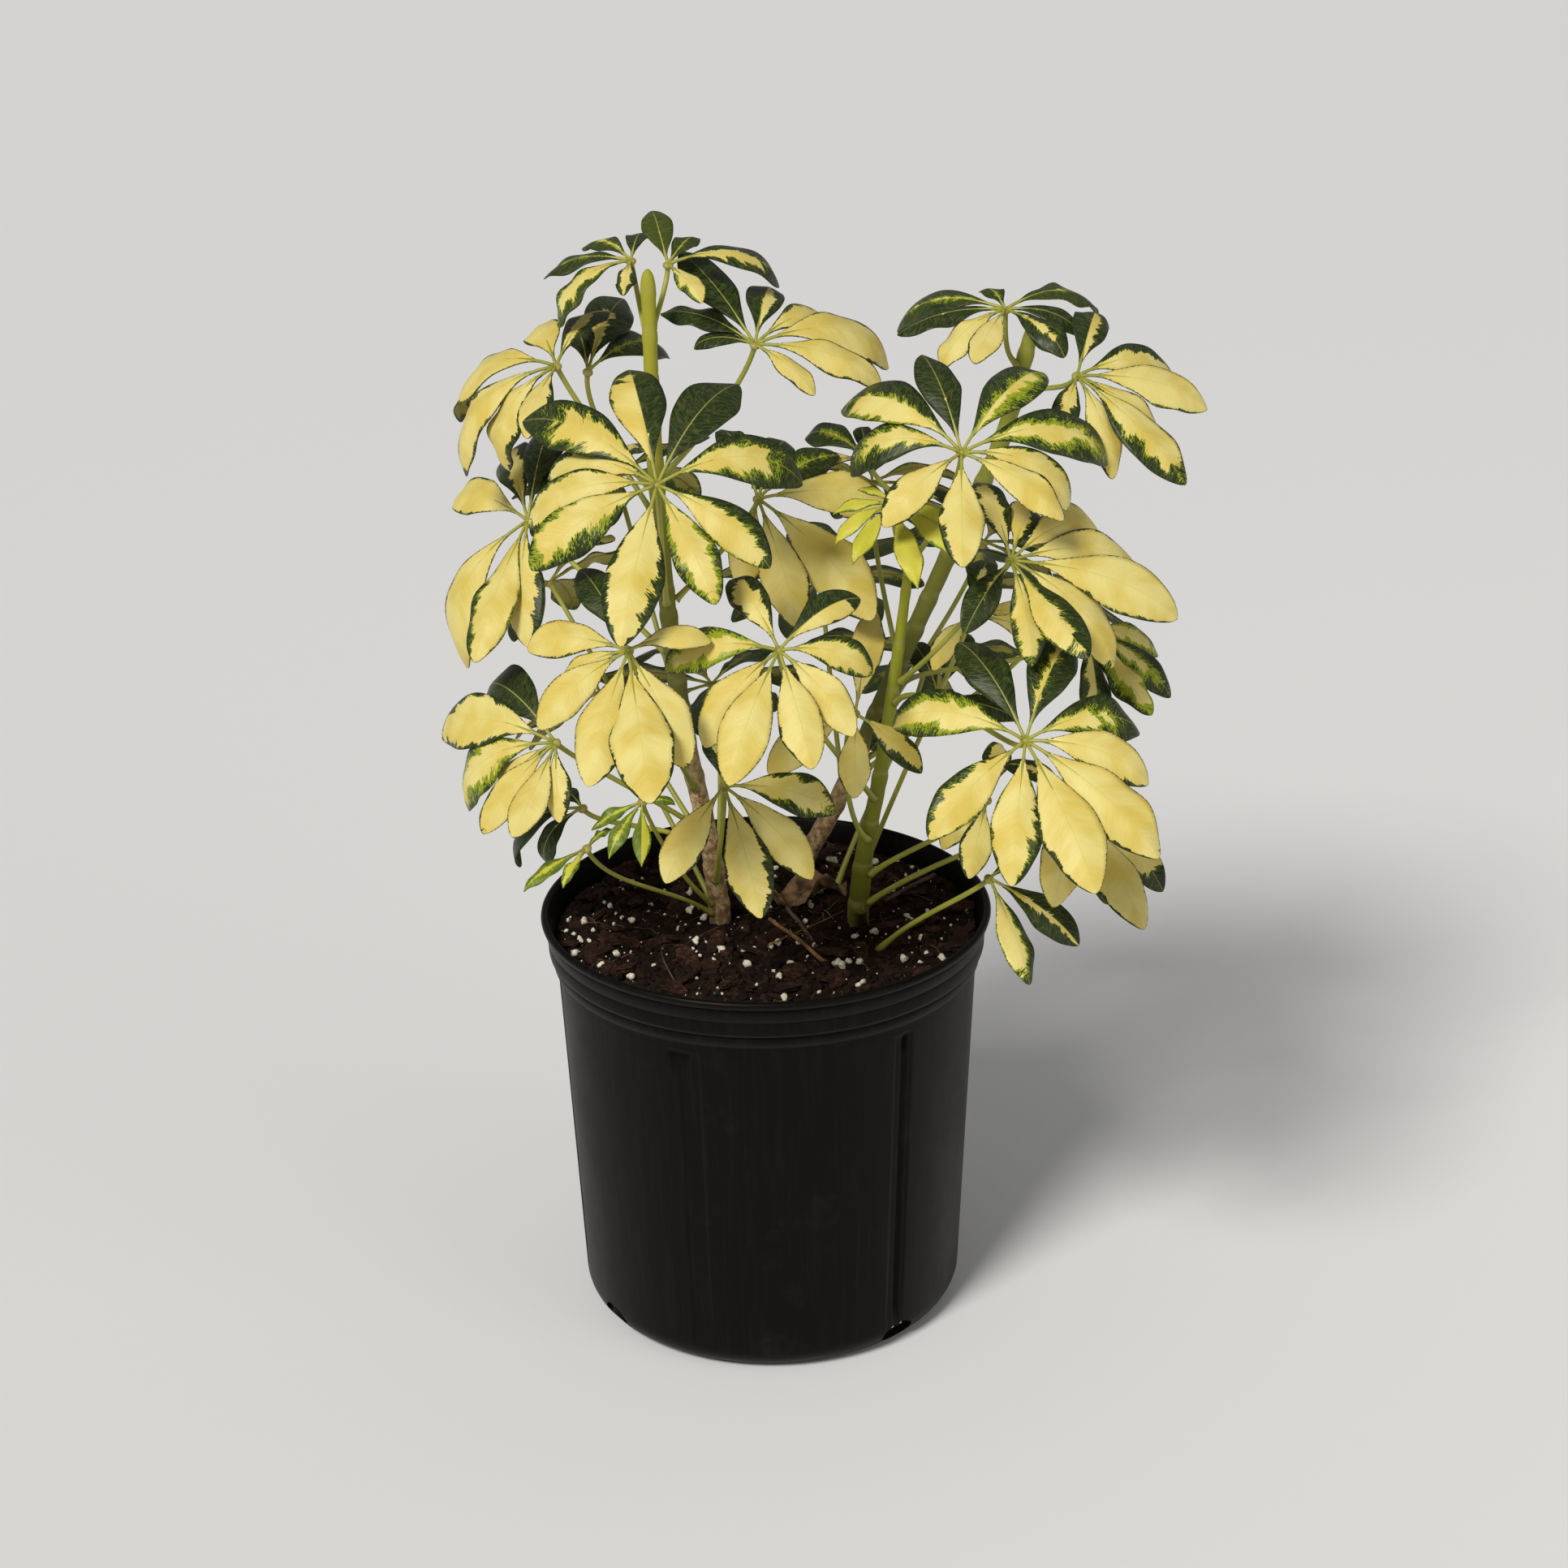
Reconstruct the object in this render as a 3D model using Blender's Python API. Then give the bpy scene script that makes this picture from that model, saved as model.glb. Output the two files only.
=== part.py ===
"""A variegated dwarf umbrella tree in a black nursery pot, in metres, +Z up.

The origin is the centre of the pot's base, and the plant is looked at along +Y.
Three woody stems stand in plain holes in the soil. Each compound leaf is one solid: a long
leafstalk that ends in a hub, from which the leaflets spread like the ribs of an umbrella.
"""

import math
import random

import bmesh
import bpy
from mathutils import Matrix, Quaternion, Vector, noise
from mathutils.bvhtree import BVHTree

# Pot
POT_HEIGHT = 0.241
RIM_RADIUS = 0.127
BAND_RADIUS = 0.1235
BAND_HEIGHT = 0.034
BODY_TOP_RADIUS = 0.1185
BODY_FOOT_RADIUS = 0.1085
FOOT_ROUNDING = 0.016
WALL = 0.0026
FLOOR = 0.004
RIM_INSIDE_RADIUS = RIM_RADIUS - 0.0055
RIM_INSIDE_HEIGHT = POT_HEIGHT - 0.005
POT_SIDES = 36
PARTING_LINE = -8
HOLES_FROM_PARTING = 49
DRAIN_HOLE_SIZE = (0.022, 0.013)
CHANNEL_COUNT = 6
FIRST_CHANNEL = -21
CHANNEL_WIDTH = 0.007
CHANNEL_DEPTH = 0.0012

# Soil
SOIL_TOP = 0.227
SOIL_MOUND = 0.004
SOIL_RELIEF = 0.0022
SOIL_CLEARANCE = 0.0008
SOIL_RINGS = 4
SOIL_SEED = 11
PERLITE_COUNT = 11
PERLITE_RADIUS = (0.0022, 0.0040)
CHIP_COUNT = 9
CHIP_SIZE = (0.020, 0.011, 0.004)
CRUMB_REACH = 0.098
CRUMB_SPACING = 0.017
FOOT_CLEARANCE = 0.018

# Clearances
GAP = 0.0004
GUARD = 0.0026
SIBLING_GUARD = 0.0008

# Stems: the line of each, from just above the soil to its growing tip; below it runs straight down
STEM_ROOT_DEPTH = 0.041
ROOT_DEPTH = 0.007
HOLE_HEADROOM = 0.010
STEM_SIDES_RESOLUTION = 2
HOLE_SIDES = 12
HOLE_FLARE = 0.0015
STEMS = {
    "left": dict(
        line=(
            (-26, 0, 238), (-31, -8, 285), (-42, -14, 350), (-50, -16, 430), (-54, -14, 510), (-55, -8, 598),
        ),
        foot_radius=6.4,
        tip_radius=4.0,
    ),
    "right": dict(
        line=((52, -4, 238), (56, -13, 280), (64, -20, 325), (73, -21, 390), (81, -22, 456)),
        foot_radius=6.4,
        tip_radius=2.6,
    ),
    "rear": dict(
        line=((22, 66, 238), (42, 60, 278), (72, 56, 350), (106, 54, 430), (134, 52, 495), (149, 52, 552)),
        foot_radius=6.0,
        tip_radius=4.6,
    ),
}

# Leaves
LEAFSTALK_RADIUS = 0.0018
LEAFSTALK_TAPER = (1.25, 1.0, 0.95, 0.9, 0.85)
ROOT_STALK_FOOT = 0.010
ROOT_STALK_RISE = 0.006
HUB_RADIUS = 0.0040
HUB_DEPTH = 0.0042
HUB_SIDES = 8
BLADE_THICKNESS = 0.0007
BLADE_LIFT = 16
BLADE_FOLD = 0.16
BLADE_WIDTH = 0.34
YOUNG_WIDTH = 0.24
USUAL_SAG = 40
SAG_AT_TOP = 15
SAG_AT_SIDE = 20
STALK_ROOT = 0.0027
STALK_SHARE = 0.17
STALK_HALF_WIDTH = 0.0008
BLADE_STATIONS = ((STALK_SHARE, 0.0, False), (0.50, 0.90, True), (0.82, 0.82, True))


def with_sag(clock, length, sag=None):
    """A leaflet's row; unless its sag is given, it hangs as its clock angle makes it."""
    if sag is None:
        angle = math.radians(clock)
        sag = USUAL_SAG + SAG_AT_TOP * math.cos(angle) + SAG_AT_SIDE * abs(math.sin(angle))
    return clock, length, sag


def even_fan(first, count, length, sag, seed):
    """Leaflets spread evenly round a hub, each a little different from the next."""
    draw = random.Random(seed)
    step = 360 / count
    rows = []
    for index in range(count):
        clock = first + index * step + draw.uniform(-7, 7)
        rows.append((clock, length * draw.uniform(0.86, 1.10), sag + draw.uniform(-10, 14)))
    return tuple(rows)


# Each leaf: the stem that bears it or its root in the soil, its hub in mm, the way that its upper
# side faces as a turn to the right and a rise in degrees, and the height of its node on the stem in
# mm where that shows. Each leaflet: its clock angle, its length in mm and, only where it hangs
# unlike the usual, its sag in degrees. All were read by eye off the photograph.
LEAVES = {
    "left_leaf_01": dict(
        stem="left", hub=(-50, -100, 520), faces=(0, 46),
        fan=((350, 85), (25, 85), (62, 90, 90), (120, 75), (155, 75), (192, 95), (243, 80),
             (274, 78, 80), (286, 70), (318, 92)),
    ),
    "left_leaf_02": dict(
        stem="left", hub=(-65, -150, 450), faces=(-5, 45),
        fan=((192, 77), (148, 72), (168, 92), (233, 62), (287, 58), (272, 64), (335, 62), (65, 45)),
    ),
    "right_leaf_01": dict(
        stem="right", hub=(10, -140, 445), faces=(0, 42),
        fan=((337, 55), (42, 58), (85, 55, 80), (133, 60), (165, 68), (193, 78), (218, 65), (283, 66, 80)),
    ),
    "right_leaf_02": dict(
        stem="right", hub=(105, -70, 525), faces=(0, 50),
        fan=((320, 92, 85), (337, 70), (31, 84), (66, 98, 90), (93, 75, 85), (120, 66), (183, 72),
             (230, 60), (293, 75, 100)),
    ),
    "right_leaf_03": dict(
        stem="right", hub=(135, -130, 390), faces=(0, 44), node=372,
        fan=((338, 75), (18, 74), (62, 74, 85), (95, 72), (128, 94), (157, 92), (178, 80), (230, 74),
             (300, 82, 85)),
    ),
    "right_leaf_04": dict(
        stem="right", hub=(130, -80, 470), faces=(20, 46), node=384,
        fan=((0, 57), (14, 56), (58, 76, 80), (85, 80), (110, 98), (125, 82), (148, 70), (167, 60),
             (232, 52)),
    ),
    "left_leaf_03": dict(
        stem="left", hub=(-20, -100, 355), faces=(0, 40), node=262,
        fan=((215, 62), (163, 76), (137, 70), (90, 64), (350, 38)),
    ),
    "right_leaf_05": dict(
        stem="right", hub=(70, -60, 495), faces=(0, 60), width=YOUNG_WIDTH, node=446,
        fan=((318, 26), (62, 28), (105, 38), (135, 46), (170, 62), (212, 46), (235, 40), (258, 33)),
    ),
    "left_leaf_04": dict(
        stem="left", hub=(-105, 0, 555), faces=(-40, 60),
        fan=((266, 96, 95), (225, 92, 100), (205, 74, 95), (160, 55), (312, 62), (345, 60)),
    ),
    "left_leaf_05": dict(
        stem="left", hub=(-45, 15, 605), faces=(10, 70), node=578,
        fan=((357, 48, 20), (32, 36, 40), (76, 75, 80), (160, 38)),
    ),
    "left_leaf_06": dict(
        stem="left", hub=(-65, 25, 605), faces=(-25, 70), node=570,
        fan=((305, 50), (272, 54), (228, 60, 95), (160, 34), (345, 40)),
    ),
    "left_leaf_07": dict(
        stem="left", hub=(0, 0, 565), faces=(20, 60),
        fan=((24, 66), (50, 82, 80), (80, 95, 85), (112, 74), (150, 46), (298, 36, 70), (345, 75, 30),
             (318, 58, 60)),
    ),
    "rear_leaf_01": dict(
        stem="rear", hub=(135, 45, 570), faces=(-10, 70), node=540,
        fan=((285, 74, 80), (262, 62, 60), (240, 56), (192, 56), (130, 52), (50, 68, 85), (100, 48),
             (335, 34)),
    ),
    "rear_leaf_02": dict(
        stem="rear", hub=(170, 0, 545), faces=(30, 50), node=520,
        fan=((28, 66), (225, 42), (80, 72), (100, 80), (140, 62), (160, 84), (184, 64)),
    ),
    "left_leaf_08": dict(
        stem="left", hub=(-125, 15, 465), faces=(-40, 45), node=400,
        fan=((285, 76), (208, 104, 95), (165, 90), (148, 78, 50), (320, 78), (345, 82), (8, 66)),
    ),
    "left_leaf_09": dict(
        stem="left", hub=(-110, -60, 365), faces=(-25, 40), node=296,
        fan=((285, 92, 80), (302, 84, 70), (268, 86, 85), (252, 62, 70), (222, 64), (196, 60), (164, 46)),
    ),
    "left_leaf_10": dict(
        stem="left", hub=(-95, -75, 310), faces=(-30, 60), width=YOUNG_WIDTH, node=238,
        fan=((212, 42, 30), (15, 20), (185, 28)),
    ),
    "left_leaf_11": dict(
        stem="left", hub=(-65, -60, 330), faces=(-10, 50), width=YOUNG_WIDTH, node=246,
        fan=((236, 32), (206, 38), (170, 40), (75, 20)),
    ),
    "left_leaf_12": dict(
        stem="left", hub=(-100, -20, 310), faces=(-40, 55), node=282,
        fan=((245, 72, 105), (225, 46, 70), (300, 26)),
    ),
    "right_leaf_06": dict(
        root=(66, -39), hub=(120, -90, 295), faces=(35, 45),
        fan=((190, 64), (142, 62), (70, 34)),
    ),
    "right_leaf_07": dict(
        stem="right", hub=(120, -65, 330), faces=(10, 50), node=266,
        fan=((203, 50), (235, 40), (20, 44)),
    ),
    "right_leaf_08": dict(
        stem="right", hub=(165, -65, 330), faces=(30, 45), node=246,
        fan=((150, 72), (162, 64), (176, 84), (196, 70), (60, 44), (330, 44)),
    ),
    "rear_leaf_03": dict(
        stem="left", hub=(0, 0, 480), faces=(10, 45), node=430,
        fan=((350, 56), (12, 56), (48, 60), (82, 76), (140, 94), (172, 82), (200, 56)),
    ),
    "rear_leaf_04": dict(
        stem="rear", hub=(175, -20, 410), faces=(35, 45), node=352,
        fan=((142, 62), (165, 62), (188, 60), (112, 52), (30, 50)),
    ),
    "right_leaf_09": dict(
        root=(53, 40), hub=(115, 5, 410), faces=(10, 50),
        fan=((132, 64), (228, 42), (100, 52), (20, 48)),
    ),
    "right_leaf_10": dict(
        stem="right", hub=(50, -50, 375), faces=(0, 45), node=290,
        fan=((128, 50), (15, 62, 30), (203, 50), (228, 60)),
    ),
    "rear_leaf_11": dict(
        stem="rear", hub=(100, 50, 345), faces=(0, 45), node=296,
        fan=((345, 44), (8, 52), (82, 48), (215, 52)),
    ),
    "left_leaf_17": dict(
        stem="left", hub=(-90, 25, 545), faces=(25, 60), node=478,
        fan=((32, 76, 50), (48, 74, 60), (15, 44)),
    ),
    "rear_leaf_10": dict(
        stem="rear", hub=(60, 35, 490), faces=(-10, 50), node=440,
        fan=((312, 52, 80), (268, 58), (340, 30)),
    ),
    "left_leaf_13": dict(stem="left", hub=(-80, 75, 470), faces=(206, 50), fan=even_fan(18, 6, 72, 44, 13)),
    "rear_leaf_05": dict(stem="rear", hub=(65, 120, 450), faces=(172, 52), fan=even_fan(0, 7, 76, 44, 7)),
    "rear_leaf_06": dict(stem="rear", hub=(130, 130, 410), faces=(150, 48), fan=even_fan(30, 6, 74, 44, 9)),
    "rear_leaf_07": dict(stem="rear", hub=(35, 140, 385), faces=(186, 46), fan=even_fan(12, 7, 76, 42, 8)),
    "rear_leaf_08": dict(root=(42, 46), hub=(95, 105, 345), faces=(166, 44), fan=even_fan(5, 6, 70, 42, 10)),
    "left_leaf_14": dict(stem="left", hub=(-120, 85, 405), faces=(225, 46), fan=even_fan(0, 6, 62, 44, 14)),
    "left_leaf_15": dict(stem="left", hub=(-30, 115, 330), faces=(196, 44), fan=even_fan(22, 7, 72, 42, 15)),
    "left_leaf_16": dict(stem="left", hub=(-95, 105, 330), faces=(222, 46), fan=even_fan(40, 6, 64, 44, 16)),
    "rear_leaf_09": dict(stem="rear", hub=(170, 90, 390), faces=(130, 46), fan=even_fan(20, 6, 64, 44, 5)),
}

# What lies on the soil: dry leafstalks as start and end points in mm, and one shrivelled leaf
DRY_STALKS = {
    "dry_stalk_front": ((2, -12, 234.5), (33, -60, 229.5)),
    "dry_stalk_middle": ((12, 2, 236.0), (28, -40, 230.5)),
    "dry_stalk_right": ((68, 20, 232.5), (98, 56, 232.0)),
}
DRY_STALK_RADIUS = 0.0013
SHRIVELLED_LEAF = dict(centre=(20, 22, 238), length=0.052, width=0.026)

PALETTE = {
    "pot": ((0.018, 0.017, 0.016), 0.42),
    "soil": ((0.045, 0.026, 0.017), 0.95),
    "stem": ((0.26, 0.28, 0.08), 0.55),
    "leaf": ((0.82, 0.70, 0.26), 0.38),
    "litter": ((0.17, 0.09, 0.045), 0.85),
}


def metres(point):
    """A point given in millimetres."""
    return Vector(point) / 1000


def material(slot):
    """The plain finish that a slot's colour and roughness give."""
    found = bpy.data.materials.get(slot)
    if found:
        return found
    made = bpy.data.materials.new(slot)
    made.use_nodes = True
    colour, roughness = PALETTE[slot]
    shader = made.node_tree.nodes["Principled BSDF"]
    shader.inputs["Base Color"].default_value = (*colour, 1)
    shader.inputs["Roughness"].default_value = roughness
    return made


def add_object(name, mesh, slot):
    """Puts a mesh in the scene as a node of its own."""
    made = bpy.data.objects.new(name, mesh)
    bpy.context.scene.collection.objects.link(made)
    mesh.materials.clear()
    mesh.materials.append(material(slot))
    shade_smooth(mesh)
    return made


def mesh_from(bm, name):
    """Closes a bmesh into a mesh with its faces pointing out."""
    bmesh.ops.recalc_face_normals(bm, faces=bm.faces)
    mesh = bpy.data.meshes.new(name)
    bm.to_mesh(mesh)
    bm.free()
    return mesh


def shade_smooth(mesh):
    """Shades round faces smooth and keeps the edges between flat ones sharp."""
    mesh.shade_smooth()
    mesh.set_sharp_from_angle(angle=math.radians(40))


def apply_modifiers(obj):
    """Bakes an object's modifiers into its mesh."""
    graph = bpy.context.evaluated_depsgraph_get()
    baked = bpy.data.meshes.new_from_object(obj.evaluated_get(graph))
    obj.modifiers.clear()
    obj.data = baked
    shade_smooth(baked)


def combine(obj, helpers, operation):
    """Joins helper objects to an object, or cuts them from it, and removes them."""
    collection = bpy.data.collections.new(obj.name + "_helpers")
    bpy.context.scene.collection.children.link(collection)
    for helper in helpers:
        collection.objects.link(helper)
    boolean = obj.modifiers.new("boolean", "BOOLEAN")
    boolean.operation = operation
    boolean.operand_type = "COLLECTION"
    boolean.collection = collection
    boolean.solver = "EXACT"
    apply_modifiers(obj)
    for helper in helpers:
        bpy.data.objects.remove(helper)
    bpy.data.collections.remove(collection)


def helper_object(name, mesh):
    """A mesh that only feeds a Boolean."""
    return bpy.data.objects.new(name, mesh)


def tube_mesh(name, points, radii, resolution):
    """A closed tube along points, made as a curve with a bevel and filled caps."""
    curve = bpy.data.curves.new(name, "CURVE")
    curve.dimensions = "3D"
    curve.bevel_depth = 1.0
    curve.bevel_resolution = resolution
    curve.use_fill_caps = True
    spline = curve.splines.new("POLY")
    spline.points.add(len(points) - 1)
    for point, place, radius in zip(spline.points, points, radii):
        point.co = (*place, 1)
        point.radius = radius
    holder = bpy.data.objects.new(name, curve)
    mesh = bpy.data.meshes.new_from_object(holder)
    bpy.data.objects.remove(holder)
    bpy.data.curves.remove(curve)
    bm = bmesh.new()
    bm.from_mesh(mesh)
    bpy.data.meshes.remove(mesh)
    bmesh.ops.remove_doubles(bm, verts=bm.verts, dist=0.00001)
    return mesh_from(bm, name)


def front_angle(degrees):
    """Turns an angle that is measured to the right of the front into one about +Z."""
    return math.radians(degrees - 90)


# Pot

def body_radius(height):
    """Outer radius of the tapered wall at a height above the base."""
    top = POT_HEIGHT - BAND_HEIGHT
    return BODY_FOOT_RADIUS + (BODY_TOP_RADIUS - BODY_FOOT_RADIUS) * height / top


def pot_profile():
    """Half section of the pot: under the base, up the outside, over the rim and down the inside."""
    foot = body_radius(FOOT_ROUNDING)
    band_foot = POT_HEIGHT - BAND_HEIGHT
    outside = [(0, 0), (0.058, 0), (0.061, 0.0018), (0.080, 0.0018), (0.083, 0), (foot - FOOT_ROUNDING, 0)]
    for angle in (30, 60, 90):
        turn = math.radians(angle)
        out = foot - FOOT_ROUNDING * (1 - math.sin(turn))
        outside.append((out, FOOT_ROUNDING * (1 - math.cos(turn))))
    outside += [
        (BODY_TOP_RADIUS, band_foot - 0.004),
        (BODY_TOP_RADIUS + 0.0006, band_foot),
        (BAND_RADIUS - 0.0018, band_foot + 0.006),
        (BAND_RADIUS - 0.0010, band_foot + 0.020),
        (BAND_RADIUS, POT_HEIGHT - 0.010),
        (RIM_RADIUS, POT_HEIGHT - 0.007),
        (RIM_RADIUS, POT_HEIGHT - 0.001),
        (RIM_RADIUS - 0.0015, POT_HEIGHT),
        (RIM_RADIUS - 0.0045, POT_HEIGHT - 0.0005),
    ]
    inside = [
        (RIM_INSIDE_RADIUS, RIM_INSIDE_HEIGHT),
        (BODY_TOP_RADIUS - WALL, band_foot),
        (foot - WALL, FOOT_ROUNDING),
        (foot - FOOT_ROUNDING, FLOOR),
        (0, FLOOR),
    ]
    return outside + inside


def spin_profile(bm, profile, sides):
    """Turns a half section about +Z into a closed solid."""
    verts = [bm.verts.new((radius, 0, height)) for radius, height in profile]
    edges = [bm.edges.new(pair) for pair in zip(verts, verts[1:])]
    bmesh.ops.spin(
        bm, geom=verts + edges, cent=(0, 0, 0), axis=(0, 0, 1), angle=math.tau, steps=sides, use_merge=True
    )
    bmesh.ops.remove_doubles(bm, verts=bm.verts, dist=0.00001)


def box_cutter(name, size, place):
    """A box that a Boolean takes away."""
    bm = bmesh.new()
    bmesh.ops.create_cube(bm, size=1, matrix=place @ Matrix.Diagonal((*size, 1)))
    return helper_object(name, mesh_from(bm, name))


def channel_cutter(index):
    """One of the upright channels pressed into the wall, which follows the wall's taper."""
    low, high = FOOT_ROUNDING + 0.002, POT_HEIGHT - BAND_HEIGHT - 0.008
    turn = front_angle(FIRST_CHANNEL + index * 360 / CHANNEL_COUNT)
    lean = math.atan((body_radius(high) - body_radius(low)) / (high - low))
    middle = (low + high) / 2
    reach = body_radius(middle) - CHANNEL_DEPTH + 0.005
    place = (
        Matrix.Rotation(turn, 4, "Z")
        @ Matrix.Translation((reach, 0, middle))
        @ Matrix.Rotation(lean, 4, "Y")
    )
    return box_cutter(f"channel_{index}", (0.010, CHANNEL_WIDTH, high - low), place)


def drain_cutter(index, angle):
    """An opening through the rounded foot of the wall, where water runs out."""
    width, height = DRAIN_HOLE_SIZE
    foot = body_radius(FOOT_ROUNDING)
    place = (
        Matrix.Rotation(front_angle(angle), 4, "Z")
        @ Matrix.Translation((foot - 0.004, 0, 0.0105))
        @ Matrix.Rotation(math.radians(35), 4, "Y")
    )
    return box_cutter(f"drain_{index}", (0.030, width, height), place)


def drain_angles():
    """The two openings either side of the parting line, and the same on the other half."""
    near = (PARTING_LINE - HOLES_FROM_PARTING, PARTING_LINE + HOLES_FROM_PARTING)
    return near + tuple(angle + 180 for angle in near)


def make_pot():
    """The blow-moulded pot with its band, rim, channels and drain openings."""
    bm = bmesh.new()
    spin_profile(bm, pot_profile(), POT_SIDES)
    pot = add_object("pot", mesh_from(bm, "pot"), "pot")
    cutters = [channel_cutter(index) for index in range(CHANNEL_COUNT)]
    cutters += [drain_cutter(index, angle) for index, angle in enumerate(drain_angles())]
    combine(pot, cutters, "DIFFERENCE")
    return pot


# Soil

def soil_height(x, y):
    """Height of the soil's crumbled surface."""
    coarse = noise.noise(Vector((x * 42, y * 42, 0.5)))
    fine = noise.noise(Vector((x * 120, y * 120, 3.5)))
    mound = SOIL_MOUND * (1 - (x * x + y * y) / RIM_RADIUS**2)
    return SOIL_TOP + mound + SOIL_RELIEF * (coarse + 0.6 * fine)


def soil_profile():
    """Half section of the root ball, which lies against the pot's inside with a hair of clearance."""
    foot = body_radius(FOOT_ROUNDING)
    band_foot = POT_HEIGHT - BAND_HEIGHT
    share = (SOIL_TOP - band_foot) / (RIM_INSIDE_HEIGHT - band_foot)
    edge = BODY_TOP_RADIUS - WALL + (RIM_INSIDE_RADIUS - BODY_TOP_RADIUS + WALL) * share
    rings = [(edge * ring / SOIL_RINGS, SOIL_TOP) for ring in range(SOIL_RINGS)]
    return rings + [
        (edge - 0.0012, SOIL_TOP - 0.002),
        (BODY_TOP_RADIUS - WALL - SOIL_CLEARANCE, band_foot),
        (foot - WALL - SOIL_CLEARANCE, FOOT_ROUNDING),
        (foot - FOOT_ROUNDING - SOIL_CLEARANCE, FLOOR + GAP),
        (0, FLOOR + GAP),
    ]


def scatter(count, reach, seed):
    """Seeded points over the soil, clear of the stems' feet and of the fallen stalks."""
    draw = random.Random(seed)
    feet = [metres(stem["line"][0]) for stem in STEMS.values()]
    feet += [root_point(leaf) for leaf in LEAVES.values() if "root" in leaf]
    for start, end in DRY_STALKS.values():
        feet += [metres(start).lerp(metres(end), share) for share in (0, 0.33, 0.67, 1)]
    found = []
    while len(found) < count:
        radius, turn = reach * math.sqrt(draw.random()), draw.uniform(0, math.tau)
        spot = Vector((radius * math.cos(turn), radius * math.sin(turn), 0))
        clear_of_feet = all((spot - Vector((foot.x, foot.y, 0))).length > FOOT_CLEARANCE for foot in feet)
        if clear_of_feet and all((spot - other).length > CRUMB_SPACING for other in found):
            found.append(spot)
    return found


def make_soil():
    """The potting mix, with perlite and bark chips standing out of its top."""
    bm = bmesh.new()
    spin_profile(bm, soil_profile(), POT_SIDES)
    for vert in bm.verts:
        if vert.co.z > SOIL_TOP - 0.0001:
            vert.co.z = soil_height(vert.co.x, vert.co.y)
    soil = add_object("soil", mesh_from(bm, "soil"), "soil")
    surface = Neighbours.measure(soil.data)[0]
    draw = random.Random(SOIL_SEED)
    crumbs = []
    spots = scatter(PERLITE_COUNT + CHIP_COUNT, CRUMB_REACH, SOIL_SEED)
    for index, spot in enumerate(spots):
        top = surface.ray_cast(spot + Vector((0, 0, POT_HEIGHT + 0.05)), Vector((0, 0, -1)))[0].z
        crumb = bmesh.new()
        turn = Matrix.Rotation(draw.uniform(0, math.pi), 4, "Z")
        turn = turn @ Matrix.Rotation(draw.uniform(-0.25, 0.25), 4, "X")
        if index < PERLITE_COUNT:
            radius = draw.uniform(*PERLITE_RADIUS)
            place = Matrix.Translation((spot.x, spot.y, top + radius * 0.3)) @ turn
            bmesh.ops.create_icosphere(crumb, subdivisions=1, radius=radius, matrix=place)
        else:
            place = Matrix.Translation((spot.x, spot.y, top)) @ turn
            bmesh.ops.create_cube(crumb, size=1, matrix=place @ Matrix.Diagonal((*CHIP_SIZE, 1)))
        crumbs.append(helper_object(f"crumb_{index}", mesh_from(crumb, f"crumb_{index}")))
    combine(soil, crumbs, "UNION")
    combine(soil, all_hole_cutters(), "DIFFERENCE")
    return soil


# Stems

def smooth_line(points, count):
    """Points read at even steps from a smooth curve through the given ones."""
    padded = [points[0] * 2 - points[1], *points, points[-1] * 2 - points[-2]]
    line = []
    for step in range(count + 1):
        place = step / count * (len(points) - 1)
        span = min(int(place), len(points) - 2)
        t = place - span
        a, b, c, d = padded[span : span + 4]
        line.append(
            0.5 * (2 * b + (c - a) * t + (2 * a - 5 * b + 4 * c - d) * t * t + (3 * b - a - 3 * c + d) * t**3)
        )
    return line


def stem_line(stem, count=11):
    """Centre line of a stem from below the soil to its tip, with its radius at each point."""
    points = [metres(point) for point in STEMS[stem]["line"]]
    line = smooth_line(points, count)
    foot, tip = STEMS[stem]["foot_radius"] / 1000, STEMS[stem]["tip_radius"] / 1000
    radii = [foot + (tip - foot) * index / count for index in range(count + 1)]
    root = line[0] - Vector((0, 0, STEM_ROOT_DEPTH))
    return [root, *line], [foot, *radii]


def stem_at(stem, height):
    """Centre of a stem at a height."""
    line, _ = stem_line(stem)
    for low, high in zip(line, line[1:]):
        if low.z <= height <= high.z:
            return low.lerp(high, (height - low.z) / (high.z - low.z))
    return line[-1]


def make_stem(stem):
    """One woody stem."""
    line, radii = stem_line(stem)
    line.append(line[-1] + (line[-1] - line[-2]).normalized() * 0.006)
    radii.append(radii[-1] * 0.45)
    return add_object(f"{stem}_stem", tube_mesh(stem, line, radii, STEM_SIDES_RESOLUTION), "stem")


def hole_cutter(name, foot, radius, height):
    """The plain hole in the soil that a stem's foot or a leafstalk stands in."""
    bm = bmesh.new()
    place = Matrix.Translation((foot.x, foot.y, foot.z - GAP + height / 2))
    radius = (radius + GAP) / math.cos(math.pi / HOLE_SIDES)
    bmesh.ops.create_cone(
        bm, cap_ends=True, segments=HOLE_SIDES, radius1=radius, radius2=radius + HOLE_FLARE, depth=height,
        matrix=place,
    )
    return helper_object(name, mesh_from(bm, name))


def all_hole_cutters():
    """One hole for each stem and for each leafstalk that grows from below the soil."""
    cutters = []
    for stem in STEMS:
        line, radii = stem_line(stem)
        cutters.append(hole_cutter(f"{stem}_hole", line[0], radii[0], STEM_ROOT_DEPTH + HOLE_HEADROOM))
    for name, leaf in LEAVES.items():
        if "root" in leaf:
            heel = LEAFSTALK_RADIUS * LEAFSTALK_TAPER[0]
            cutters.append(hole_cutter(name + "_hole", root_point(leaf), heel, ROOT_DEPTH + HOLE_HEADROOM))
    return cutters


# Leaves

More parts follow.
